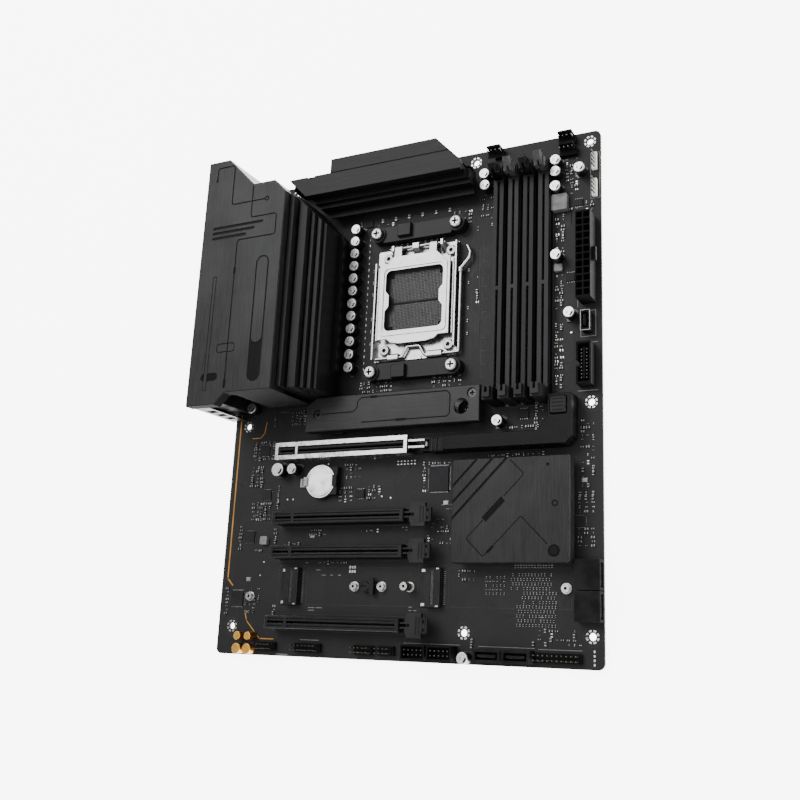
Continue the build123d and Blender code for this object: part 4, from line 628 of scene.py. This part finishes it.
def cluster(x0, y0, x1, y1, count):
    """Rows of small parts inside a rectangle, some places left as bare pads."""
    columns = max(1, int((x1 - x0) / 3.0))
    rows = max(1, int((y1 - y0) / 2.1))
    cells = [(i, j) for i in range(columns) for j in range(rows)]
    random.shuffle(cells)
    for i, j in cells[:count]:
        x = x0 + (i + 0.5) * (x1 - x0) / columns + random.choice((-0.2, 0, 0.2))
        y = y0 + (j + 0.5) * (y1 - y0) / rows
        long, wide = random.choice(part_sizes)
        turned = random.random() < 0.4
        if random.random() < 0.8:
            chip_part(x, y, long, wide, wide * 0.8, turned, brown if random.random() < 0.45 else black)
        else:
            offset = long * 0.36
            for side in (-1, 1):
                if turned:
                    pads.block(x, y + side * offset, wide, long * 0.3, top, skin)
                else:
                    pads.block(x + side * offset, y, long * 0.3, wide, top, skin)


for area, count in (((16, 118, 33, 131), 34), ((15, 101, 26, 115), 22), ((18, 80, 33, 92), 24),
                    ((9, 62, 14, 78), 10), ((22, 60, 29, 64), 6), ((3, 23, 7, 40), 8), ((18, 24, 30, 40), 16),
                    ((186, 128, 215, 131), 12), ((204, 125.6, 215, 146), 20), ((187, 141, 200, 147), 10),
                    ((216, 150, 222, 188), 26), ((216, 196, 222, 218), 14), ((216, 230, 223, 255), 16),
                    ((221, 256, 231, 258), 4), ((222, 266, 231, 290), 22), ((234, 254, 240, 261), 7),
                    ((28, 139, 33, 150), 8), ((42, 139, 60, 149), 24), ((90, 156, 114, 164), 20),
                    ((140, 156, 160, 164), 16), ((80, 90, 91, 100), 12), ((100, 91, 110, 100), 10),
                    ((136, 109.8, 158, 112.6), 12), ((156, 92, 160, 110), 9), ((136, 92, 139.6, 110), 7),
                    ((229, 62, 240, 73), 13), ((229, 80, 240, 92), 15), ((231, 94, 240, 132), 26),
                    ((176, 112, 212, 115.6), 18), ((60, 116.6, 90, 119), 8), ((84, 104, 96, 114), 12),
                    ((84, 262, 91, 272), 6), ((94, 258, 110, 268), 14), ((150, 258, 164, 268), 12),
                    ((166, 252, 178, 274), 14), ((166, 206, 170, 226), 5), ((120, 171.5, 140, 173.5), 5),
                    ((39, 23.6, 41, 30), 3), ((36, 66, 38.6, 76), 5), ((36, 87, 38.6, 102), 7),
                    ((43, 64.8, 60, 66.6), 4), ((62, 70, 74, 75), 8), ((96, 71, 110, 75), 6),
                    ((140, 64, 158, 82), 20), ((60, 53.4, 90, 55.6), 8), ((160, 44, 172, 51), 8),
                    ((168, 8.4, 172, 14), 3), ((204, 11, 236, 20), 20)):
    cluster(*area, count)
# fine part fields below the flat heatsink: upright parts in staggered rows, and a dotted double row
for row in range(12):
    first, last = (199.0, 218.4) if row in (5, 6, 7) else (196.0, 218.0) if row < 5 else (192.6, 216.0)
    x, y = first + (row % 2) * 0.9, 21.4 + 2.4 * row
    while x < last:
        if random.random() < 0.88:
            chip_part(x, y, 1.35, 0.6, 0.45, True, brown if random.random() < 0.35 else black)
        x += 1.8
for row in range(5):
    for column in range(6):
        if random.random() < 0.85:
            chip_part(178.0 + 2.1 * column, 37.6 + 2.2 * row, 1.1, 0.6, 0.5, row % 2 == 0, black)
for column in range(14):
    ends.block(194.6 + 1.6 * column, 52.9, 0.9, 0.5, top, skin)
    ends.block(194.6 + 1.6 * column, 51.6, 0.9, 0.5, top, skin)
# dotted rows below the graphics slot, a column beside the can capacitors and a six-pad group
for i in range(6):
    pads.block(120.0 + 2.2 * i, 113.4, 1.0, 0.6, top, skin)
    pads.block(120.0 + 2.2 * i, 111.6, 1.0, 0.6, top, skin)
for i in range(22):
    pads.block(92.6, 172.0 + 4.1 * i, 0.7, 1.4, top, skin)
for i in range(3):
    for j in range(2):
        pads.block(91.4 + 1.6 * i, 49.4 + 2.4 * j, 1.1, 1.5, top, skin)
# ceramic capacitors round the processor socket
for i in range(9):
    chip_part(112.0 + 4.1 * i, 250.4, 2.0, 1.2, 0.9, True, brown)
for y in (188.0, 196.0, 204.0, 220.0, 228.0, 236.0):
    chip_part(162.3, y, 1.6, 0.8, 0.6, True, brown)
    chip_part(97.0, y, 1.6, 0.8, 0.6, True, brown)
# crystal cans
crystals = Pieces()
for x, y, sx, sy in ((20.0, 44.6, 3.2, 2.5), (152.0, 88.0, 3.2, 2.5), (233.6, 98.0, 3.2, 2.5),
                     (64.0, 70.0, 3.2, 1.5), (36.0, 166.4, 3.2, 2.5)):
    crystals.block(x, y, sx, sy, top, top + 0.3)
    crystals.block(x, y, sx - 0.5, sy - 0.5, top + 0.3, top + 0.8)
crystals.build("crystal_cans", lead_tin, "port_steel")

# flat test points and battery-side pads
for x, y in ((44.0, 93.0), (48.0, 93.0), (110.0, 93.0), (116.0, 92.0), (140.0, 118.0), (30.0, 55.0),
             (28.0, 47.0), (72.0, 114.0), (104.0, 116.0), (176.0, 124.0), (225.0, 144.0), (226.0, 182.0),
             (96.0, 280.0)):
    pads.disc(x, y, 0.55, top, skin, 16)
ends.build("part_ends", lead_tin, "port_steel")
brown.build("brown_parts", part_brown, "ferrite")
black.build("black_parts", part_black, "chip_resin")
pads.build("bare_pads", tin, "board")

# gull-wing leads of the flat chips
leads = Pieces()


def lead_rows(x, y, sx, sy, pitch, sides="xy", reach=0.9, wide=0.3):
    """Leads along the sides of a chip package."""
    if "x" in sides:
        n = int((sy - 1.0) / pitch)
        for i in range(n + 1):
            py = y - n * pitch / 2 + pitch * i
            for side in (-1, 1):
                edge = x + side * sx / 2
                leads.box(min(edge, edge + side * reach), py - wide / 2, top, max(edge, edge + side * reach),
                          py + wide / 2, top + 0.18)
    if "y" in sides:
        n = int((sx - 1.0) / pitch)
        for i in range(n + 1):
            px = x - n * pitch / 2 + pitch * i
            for side in (-1, 1):
                edge = y + side * sy / 2
                leads.box(px - wide / 2, min(edge, edge + side * reach), top, px + wide / 2,
                          max(edge, edge + side * reach), top + 0.18)


lead_rows(147.3, 102.0, 12.4, 14.4, 0.65)
lead_rows(12.8, 33.0, 9.0, 9.0, 0.6)
for x, y, sx, sy in ((29.0, 96.4, 6.0, 6.0), (25.0, 124.6, 7.0, 7.0), (18.6, 70.4, 7.0, 7.0),
                     (231.0, 76.0, 6.0, 6.0), (37.0, 152.6, 7.0, 7.0)):
    lead_rows(x, y, sx, sy, 0.65, "xy", 0.45, 0.28)
for x, y, sx, sy in ((95.6, 95.0, 6.0, 5.0), (198.4, 137.0, 6.0, 5.0), (225.8, 215.0, 5.0, 5.0),
                     (230.6, 260.4, 5.0, 4.0)):
    lead_rows(x, y, sx, sy, 1.27, "y", 0.8, 0.4)
leads.build("chip_leads", lead_tin, "port_steel")

# contacts in the expansion and memory slots
contacts = Pieces()
for y in slot_ys:
    for i in range(82):
        x = 43.9 + 1.035 * i
        if abs(x - slot_key_x) < 1.3:
            continue
        for side in (-1, 1):
            contacts.block(x, y + side * 0.72, 0.5, 0.2, 5.2, 11.6)
for x in dimm_xs:
    for i in range(148):
        y = 150.4 + 0.86 * i
        if abs(y - dimm_key_y) < 1.5:
            continue
        for side in (-1, 1):
            contacts.block(x + side * 0.64, y, 0.18, 0.42, 4.4, 8.4)
contacts.build("slot_contacts", dull_gold, "brass")

# contact teeth of the card sockets, with their light end caps
teeth, caps = Pieces(), Pieces()
for x, y in open_card_sockets + (covered_card_socket,):
    for i in range(37):
        py = y - 9.0 + 0.5 * i
        teeth.block(x - 0.4, py, 1.7, 0.22, 5.0, 5.22)
        if (x, y) != covered_card_socket:
            teeth.block(x - 4.75, py, 0.5, 0.22, top, 2.0)
for x, y in open_card_sockets:
    for side in (-1, 1):
        caps.block(x - 7.0, y + side * 9.4, 2.4, 1.6, 2.5, 2.62)
        caps.block(x + 3.0, y + side * 10.3, 1.6, 0.7, 5.6, 5.72)
teeth.build("card_socket_teeth", pin_metal, "brass")
plates = Pieces()
for x, y in open_card_sockets:
    for k in range(17):
        plates.box(x + 5.4, y - 9.2 + 1.12 * k, top, x + 6.4, y - 8.9 + 1.12 * k, skin)
plates.build("card_socket_ticks", ink, "board")
caps.build("card_socket_caps", tin, "port_steel")

# processor contact springs in two fields
springs = Pieces()
for i in range(38):
    for j in range(38):
        x = socket_x - 17.95 + 0.97 * i
        y = socket_y - 17.95 + 0.97 * j
        if abs(y - 211.2) > 0.75:
            springs.block(x, y, 0.34, 0.5, 3.98, 4.3)
springs.build("socket_springs", dull_gold, "brass")
divider = Pieces()
divider.box(socket_x - 18.2, 210.9, 3.98, socket_x + 18.2, 211.5, 4.5)
for x in (socket_x - 17.4, socket_x + 17.4):
    for y in (socket_y - 17.4, socket_y + 17.4):
        divider.block(x, y, 3.6, 3.6, 3.98, 4.6)
divider.build("socket_ribs", drive_plastic, "dark_plastic")

# pins inside the power connectors
sockets = Pieces()
for i in range(2):
    for j in range(12):
        sockets.block(234.4 + power_pitch * i, 200.5 + power_pitch * j, 0.9, 0.9, 4.8, 9.0)
for x0 in cpu_power_xs:
    for i in range(4):
        for j in range(2):
            sockets.block(x0 + power_pitch * i, 297.5 + power_pitch * j, 0.9, 0.9, 4.0, 8.4)
sockets.build("power_pins", pin_metal, "brass")

# pins of the shrouded front header and of the drive sockets
fine_pins = Pieces()
for j in range(9):
    fine_pins.block(234.2, 153.0 + 2.0 * j, 0.45, 0.6, 3.6, 9.4)
    fine_pins.block(237.2, 153.0 + 2.0 * j, 0.45, 0.6, 3.6, 9.4)
for x0 in drive_socket_xs:
    for i in range(7):
        fine_pins.block(x0 + 4.2 + 1.2 * i, 4.5, 0.6, 0.2, 3.4, 9.2)
for y0 in (23.7, 39.9):
    for i in range(7):
        fine_pins.box(235.0, y0 + 4.2 + 1.2 * i - 0.3, 5.0, 242.8, y0 + 4.2 + 1.2 * i + 0.3, 5.2)
for j in range(12):
    fine_pins.block(235.2, 183.6 + 0.5 * j, 0.16, 0.26, 4.0, 8.0)
fine_pins.build("fine_pins", pin_metal, "brass")
shell = Pieces()
shell.frame(233.15, 180.35, 238.65, 192.25, 0.3, 7.6, 8.24)
shell.build("front_port_rim", lead_tin, "port_steel")

# USB tongues, network contacts, jack rings and their contacts at the rear
tongues, rear_gold, rings_rear = Pieces(), Pieces(), Pieces()
for y, rows in ((206.0, 4), (225.4, 4), (244.8, 2), (186.6, 2)):
    for i in range(rows):
        z = 6.0 + 7.5 * i
        tongues.box(-1.5, y - 5.65, z - 0.15, 7.6, y + 5.65, z + 1.75)
        for k in range(4):
            rear_gold.box(-1.1, y - 4.1 + 2.4 * k, z - 0.24, 6.8, y - 3.1 + 2.4 * k, z - 0.15)
for k in range(8):
    rear_gold.box(0.4, 181.6 + 1.3 * k, 26.6, 8.0, 182.0 + 1.3 * k, 27.6)
for z in jack_zs:
    rings_rear.tube(-2.45, -2.3, jack_y, z, 2.25, 3.4)
tongues.build("port_tongues", tongue_blue, "black_plastic")
rear_gold.build("port_contacts", gold, "brass")
rings_rear.build("jack_rings", jack_ring, "black_plastic")

# silver edge of the rear shield and the springs that press on the chassis
edge = Pieces()
edge.box(-1.9, 145.4, 42.0, -0.9, 304.2, 42.3)
for i in range(12):
    edge.box(-2.3, 149.0 + 12.8 * i, 40.2, -1.75, 154.0 + 12.8 * i, 40.8)
edge.build("shield_edge", lead_tin, "port_steel")

# rows of small parts and clips under the upper heatsink
clips = Pieces()
for i in range(7):
    clips.block(92.0 + 9.4 * i, 270.4, 1.6, 1.0, top, top + 0.8)
    clips.block(92.0 + 9.4 * i, 268.8, 1.6, 1.0, top, top + 0.8)
clips.build("ceramic_pairs", lead_tin, "port_steel")

# painted shade in the lobed recess and painted shadow rings of each socket screw, and painted shadow rings
# round the cooler screws
recess_shade = Pieces()
for x, y in ((108.4, 181.8), (151.2, 181.8), (108.4, 241.6), (151.2, 241.6)):
    for k in range(6):
        turn = math.radians(60 * k)
        recess_shade.disc(x + 1.25 * math.cos(turn), y + 1.25 * math.sin(turn), 0.42, 5.0, 5.02, 8)
    recess_shade.arc(x, y, 2.05, 2.25, 0, 360, 5.0, 5.02, 30)
    recess_shade.arc(x, y, 3.12, 3.5, 0, 360, 3.5, 3.54, 30)
recess_shade.build("screw_recess_shade", part_black, "socket_steel")
# painted shadow rings on top of each cooler screw and round its foot
cooler_shadow_rings = Pieces()
for x, y in ((101.9, 167.4), (155.9, 167.4), (101.9, 257.4), (155.9, 257.4)):
    cooler_shadow_rings.arc(x, y, 2.75, 2.95, 0, 360, 10.9, 10.92, 30)
    cooler_shadow_rings.arc(x, y, 4.0, 4.6, 0, 360, 8.4, 8.44, 30)
cooler_shadow_rings.build("cooler_screw_shadow_rings", part_black, "screw_steel")

# ink wedge on each can's lid
wedges = Pieces()
for x, y in can_column + [
        (173.9, 285.6), (174.4, 278.1), (218.7, 286.2), (218.7, 278.9), (218.7, 269.6), (233.0, 278.9),
        (219.2, 226.9), (227.0, 191.4), (185.2, 132.4), (168.0, 3.5), (50.9, 110.6), (17.2, 151.0)]:
    wedges.arc(x, y, 1.5, 2.6, -70, 75, 10.2, 10.23, 8)
    wedges.block(x - 0.9, y + 0.3, 1.1, 0.3, 10.2, 10.23)
    wedges.block(x - 0.9, y - 0.5, 1.1, 0.3, 10.2, 10.23)
wedges.arc(40.6, 110.6, 2.0, 3.4, -70, 75, 10.2, 10.23, 8)
wedges.build("can_marks", part_black, "can_aluminium")

# dark dots painted as the shade of engraved pits, and the small screw cap of the flat heatsink
dots = Pieces()


def dotted(path, step=1.25):
    """Dots at even steps along a path."""
    for (ax, ay), (bx, by) in zip(path, path[1:]):
        length = math.hypot(bx - ax, by - ay)
        for k in range(int(length / step) + 1):
            t = k * step / length
            dots.disc(ax + (bx - ax) * t, ay + (by - ay) * t, 0.26, 15.6, 15.615, 8)


# painted shade: near-black dots where the heatsink top has engraved pits
dotted([(216.6, 104.2), (187.0, 73.6), (192.6, 65.8), (213.6, 87.2)])
dots.build("engraved_dot_shade", part_black, "cover_aluminium")
cap = Pieces()
cap.disc(220.9, 59.4, 2.2, 15.1, 15.5, 24)
cap.build("heatsink_cap", bar_finish, "cover_aluminium")

# status lights along the front lower edge
lights = Pieces()
for i in range(4):
    lights.block(238.6, 2.6 + 2.2 * i, 0.8, 1.2, top, top + 0.6)
lights.build("status_lights", white_plastic, "white_plastic")

# solder joints under the through-hole connectors
joints = Pieces()


def soldered(xs, ys, r=0.55):
    for x in xs:
        for y in ys:
            joints.disc(x, y, r, -0.45, 0.0, 8)
            joints.disc(x, y, r * 0.55, -0.9, -0.45, 8)


soldered((234.4, 238.6), [200.5 + power_pitch * j for j in range(12)], 0.9)
for x0 in cpu_power_xs:
    soldered([x0 + power_pitch * i for i in range(4)], (297.5, 301.7), 0.9)
for x in dimm_xs:
    rows = [151.0 + 2.55 * j for j in range(50)]
    soldered((x - 1.2, x + 1.2), [y for y in rows if abs(y - dimm_key_y) > 1.5], 0.4)
for y in slot_ys:
    soldered([44.4 + 2.0 * i for i in range(42)], (y - 1.6, y + 1.6), 0.4)
for y in (206.0, 225.4, 244.8, 186.6, 288.0):
    soldered([4.0, 6.5, 9.0, 14.0], [y - 4.5 + 3.0 * k for k in range(4)], 0.5)
soldered((5.0, 8.0, 11.0), (jack_y - 4.0, jack_y, jack_y + 4.0), 0.7)
for x, n in ((37.6, 5), (66.4, 7), (104.0, 5), (118.4, 4), (138.3, 5), (154.2, 5), (219.4, 10)):
    soldered([x + pin_pitch * (i - (n - 1) / 2) for i in range(n)], (4.13, 6.67), 0.6)
for x, y in [(66.5, 168.0 + 10.6 * i) for i in range(9)] + [(88.0 + 10.6 * i, 284.0) for i in range(7)]:
    soldered((x - 2.6, x + 2.6), (y,), 0.9)
joints.build("solder_joints", tin, "board")
rear_marks = Pieces()
rear_marks.frame(80.0, 155.0, 177.0, 270.0, 0.3, under, 0.0)
rear_marks.frame(180.0, 146.0, 215.0, 284.0, 0.3, under, 0.0)
rear_marks.line([(20.0, 40.0), (20.0, 130.0), (60.0, 146.0)], 0.4, under, 0.0)
rear_marks.build("underside_print", faint_ink, "board")

# ribs on the card latches, the release button, its bar and the memory latches
for i, y in enumerate(card_slot_ys, start=1):
    grip = Pieces()
    for k in range(4):
        grip.block(141.2 + 1.9 * k, y, 0.6, 9.0, 12.8, 13.05)
    grip.build(f"latch_ribs_{i}", black_plastic, "black_plastic", f"pcie_latch_{i}")
ribs = Pieces()
for k in range(4):
    ribs.block(222.5, 134.6 + 2.1 * k, 6.4, 0.6, 15.4, 15.6)
ribs.build("button_ribs", bar_finish, "cover_aluminium", "pcie_release_button")
bar_ribs = Pieces()
for k in range(6):
    bar_ribs.block(146.4 + 1.3 * k, 120.5, 0.5, 6.6, 11.2, 11.4)
bar_ribs.build("bar_ribs", latch_grey, "cover_aluminium")
for i, x in enumerate(dimm_xs, start=1):
    grip = Pieces()
    for k in range(3):
        grip.block(x, 284.6 + 0.9 * k, 3.2, 0.35, 22.6, 22.75)
    grip.build(f"memory_latch_ribs_{i}", latch_grey, "grey_plastic", f"dimm_latch_{i}")

# plating on the coin cell's clip and the step ring on the cell's face
clip = Pieces()
clip.box(53.2, 100.1, 2.38, 58.6, 105.5, 2.48)
clip.box(58.3, 100.1, 6.96, 61.2, 105.5, 7.06)
clip.build("cell_clip_plating", lead_tin, "cell_steel")
face = Pieces()
face.arc(69.3, 102.8, 7.9, 8.1, 0, 360, 6.38, 6.43, 60)
face.build("cell_face_ring", screw_steel, "cell_steel")

# ---------------------------------------------------------------- floor and light
floor_mesh = bpy.data.meshes.new("floor")
half, low = 6, -0.0023
floor_mesh.from_pydata([(-half, -half, low), (half, -half, low), (half, half, low), (-half, half, low)],
                       [], [[0, 1, 2, 3]])
floor = bpy.data.objects.new("floor", floor_mesh)
bpy.context.scene.collection.objects.link(floor)
paper = Shader("paper_floor", specular=0.1)
paper_grain = paper.noise((1, 1, 1), 60.0, 2.0)
floor_mesh.materials.append(paper.finish(paper.mix(paper_grain, (0.86, 0.86, 0.86), (0.9, 0.9, 0.9)), 0.9))
paper.main.inputs["Emission Color"].default_value = (1, 1, 1, 1)
paper.main.inputs["Emission Strength"].default_value = 6.5


def panel(name, place, target, size, power):
    """A soft rectangular light aimed at a point; places in metres."""
    data = bpy.data.lights.new(name, "AREA")
    data.shape = "RECTANGLE"
    data.size, data.size_y = size
    data.energy = power
    lamp = bpy.data.objects.new(name, data)
    bpy.context.scene.collection.objects.link(lamp)
    lamp.location = place
    lamp.rotation_euler = (Vector(target) - Vector(place)).to_track_quat("-Z", "Y").to_euler()


middle = (0.11, 0.13, 0.0)
panel("key", (-0.5, 0.9, 1.3), middle, (0.9, 0.9), 19)
panel("fill", (1.0, -0.7, 1.0), middle, (1.0, 1.0), 8)
panel("overhead", (0.1, 0.2, 1.6), middle, (1.6, 1.6), 14)
world = bpy.data.worlds.new("studio")
world.use_nodes = True
world.node_tree.nodes["Background"].inputs["Color"].default_value = (1, 1, 1, 1)
world.node_tree.nodes["Background"].inputs["Strength"].default_value = 0.55
bpy.context.scene.world = world
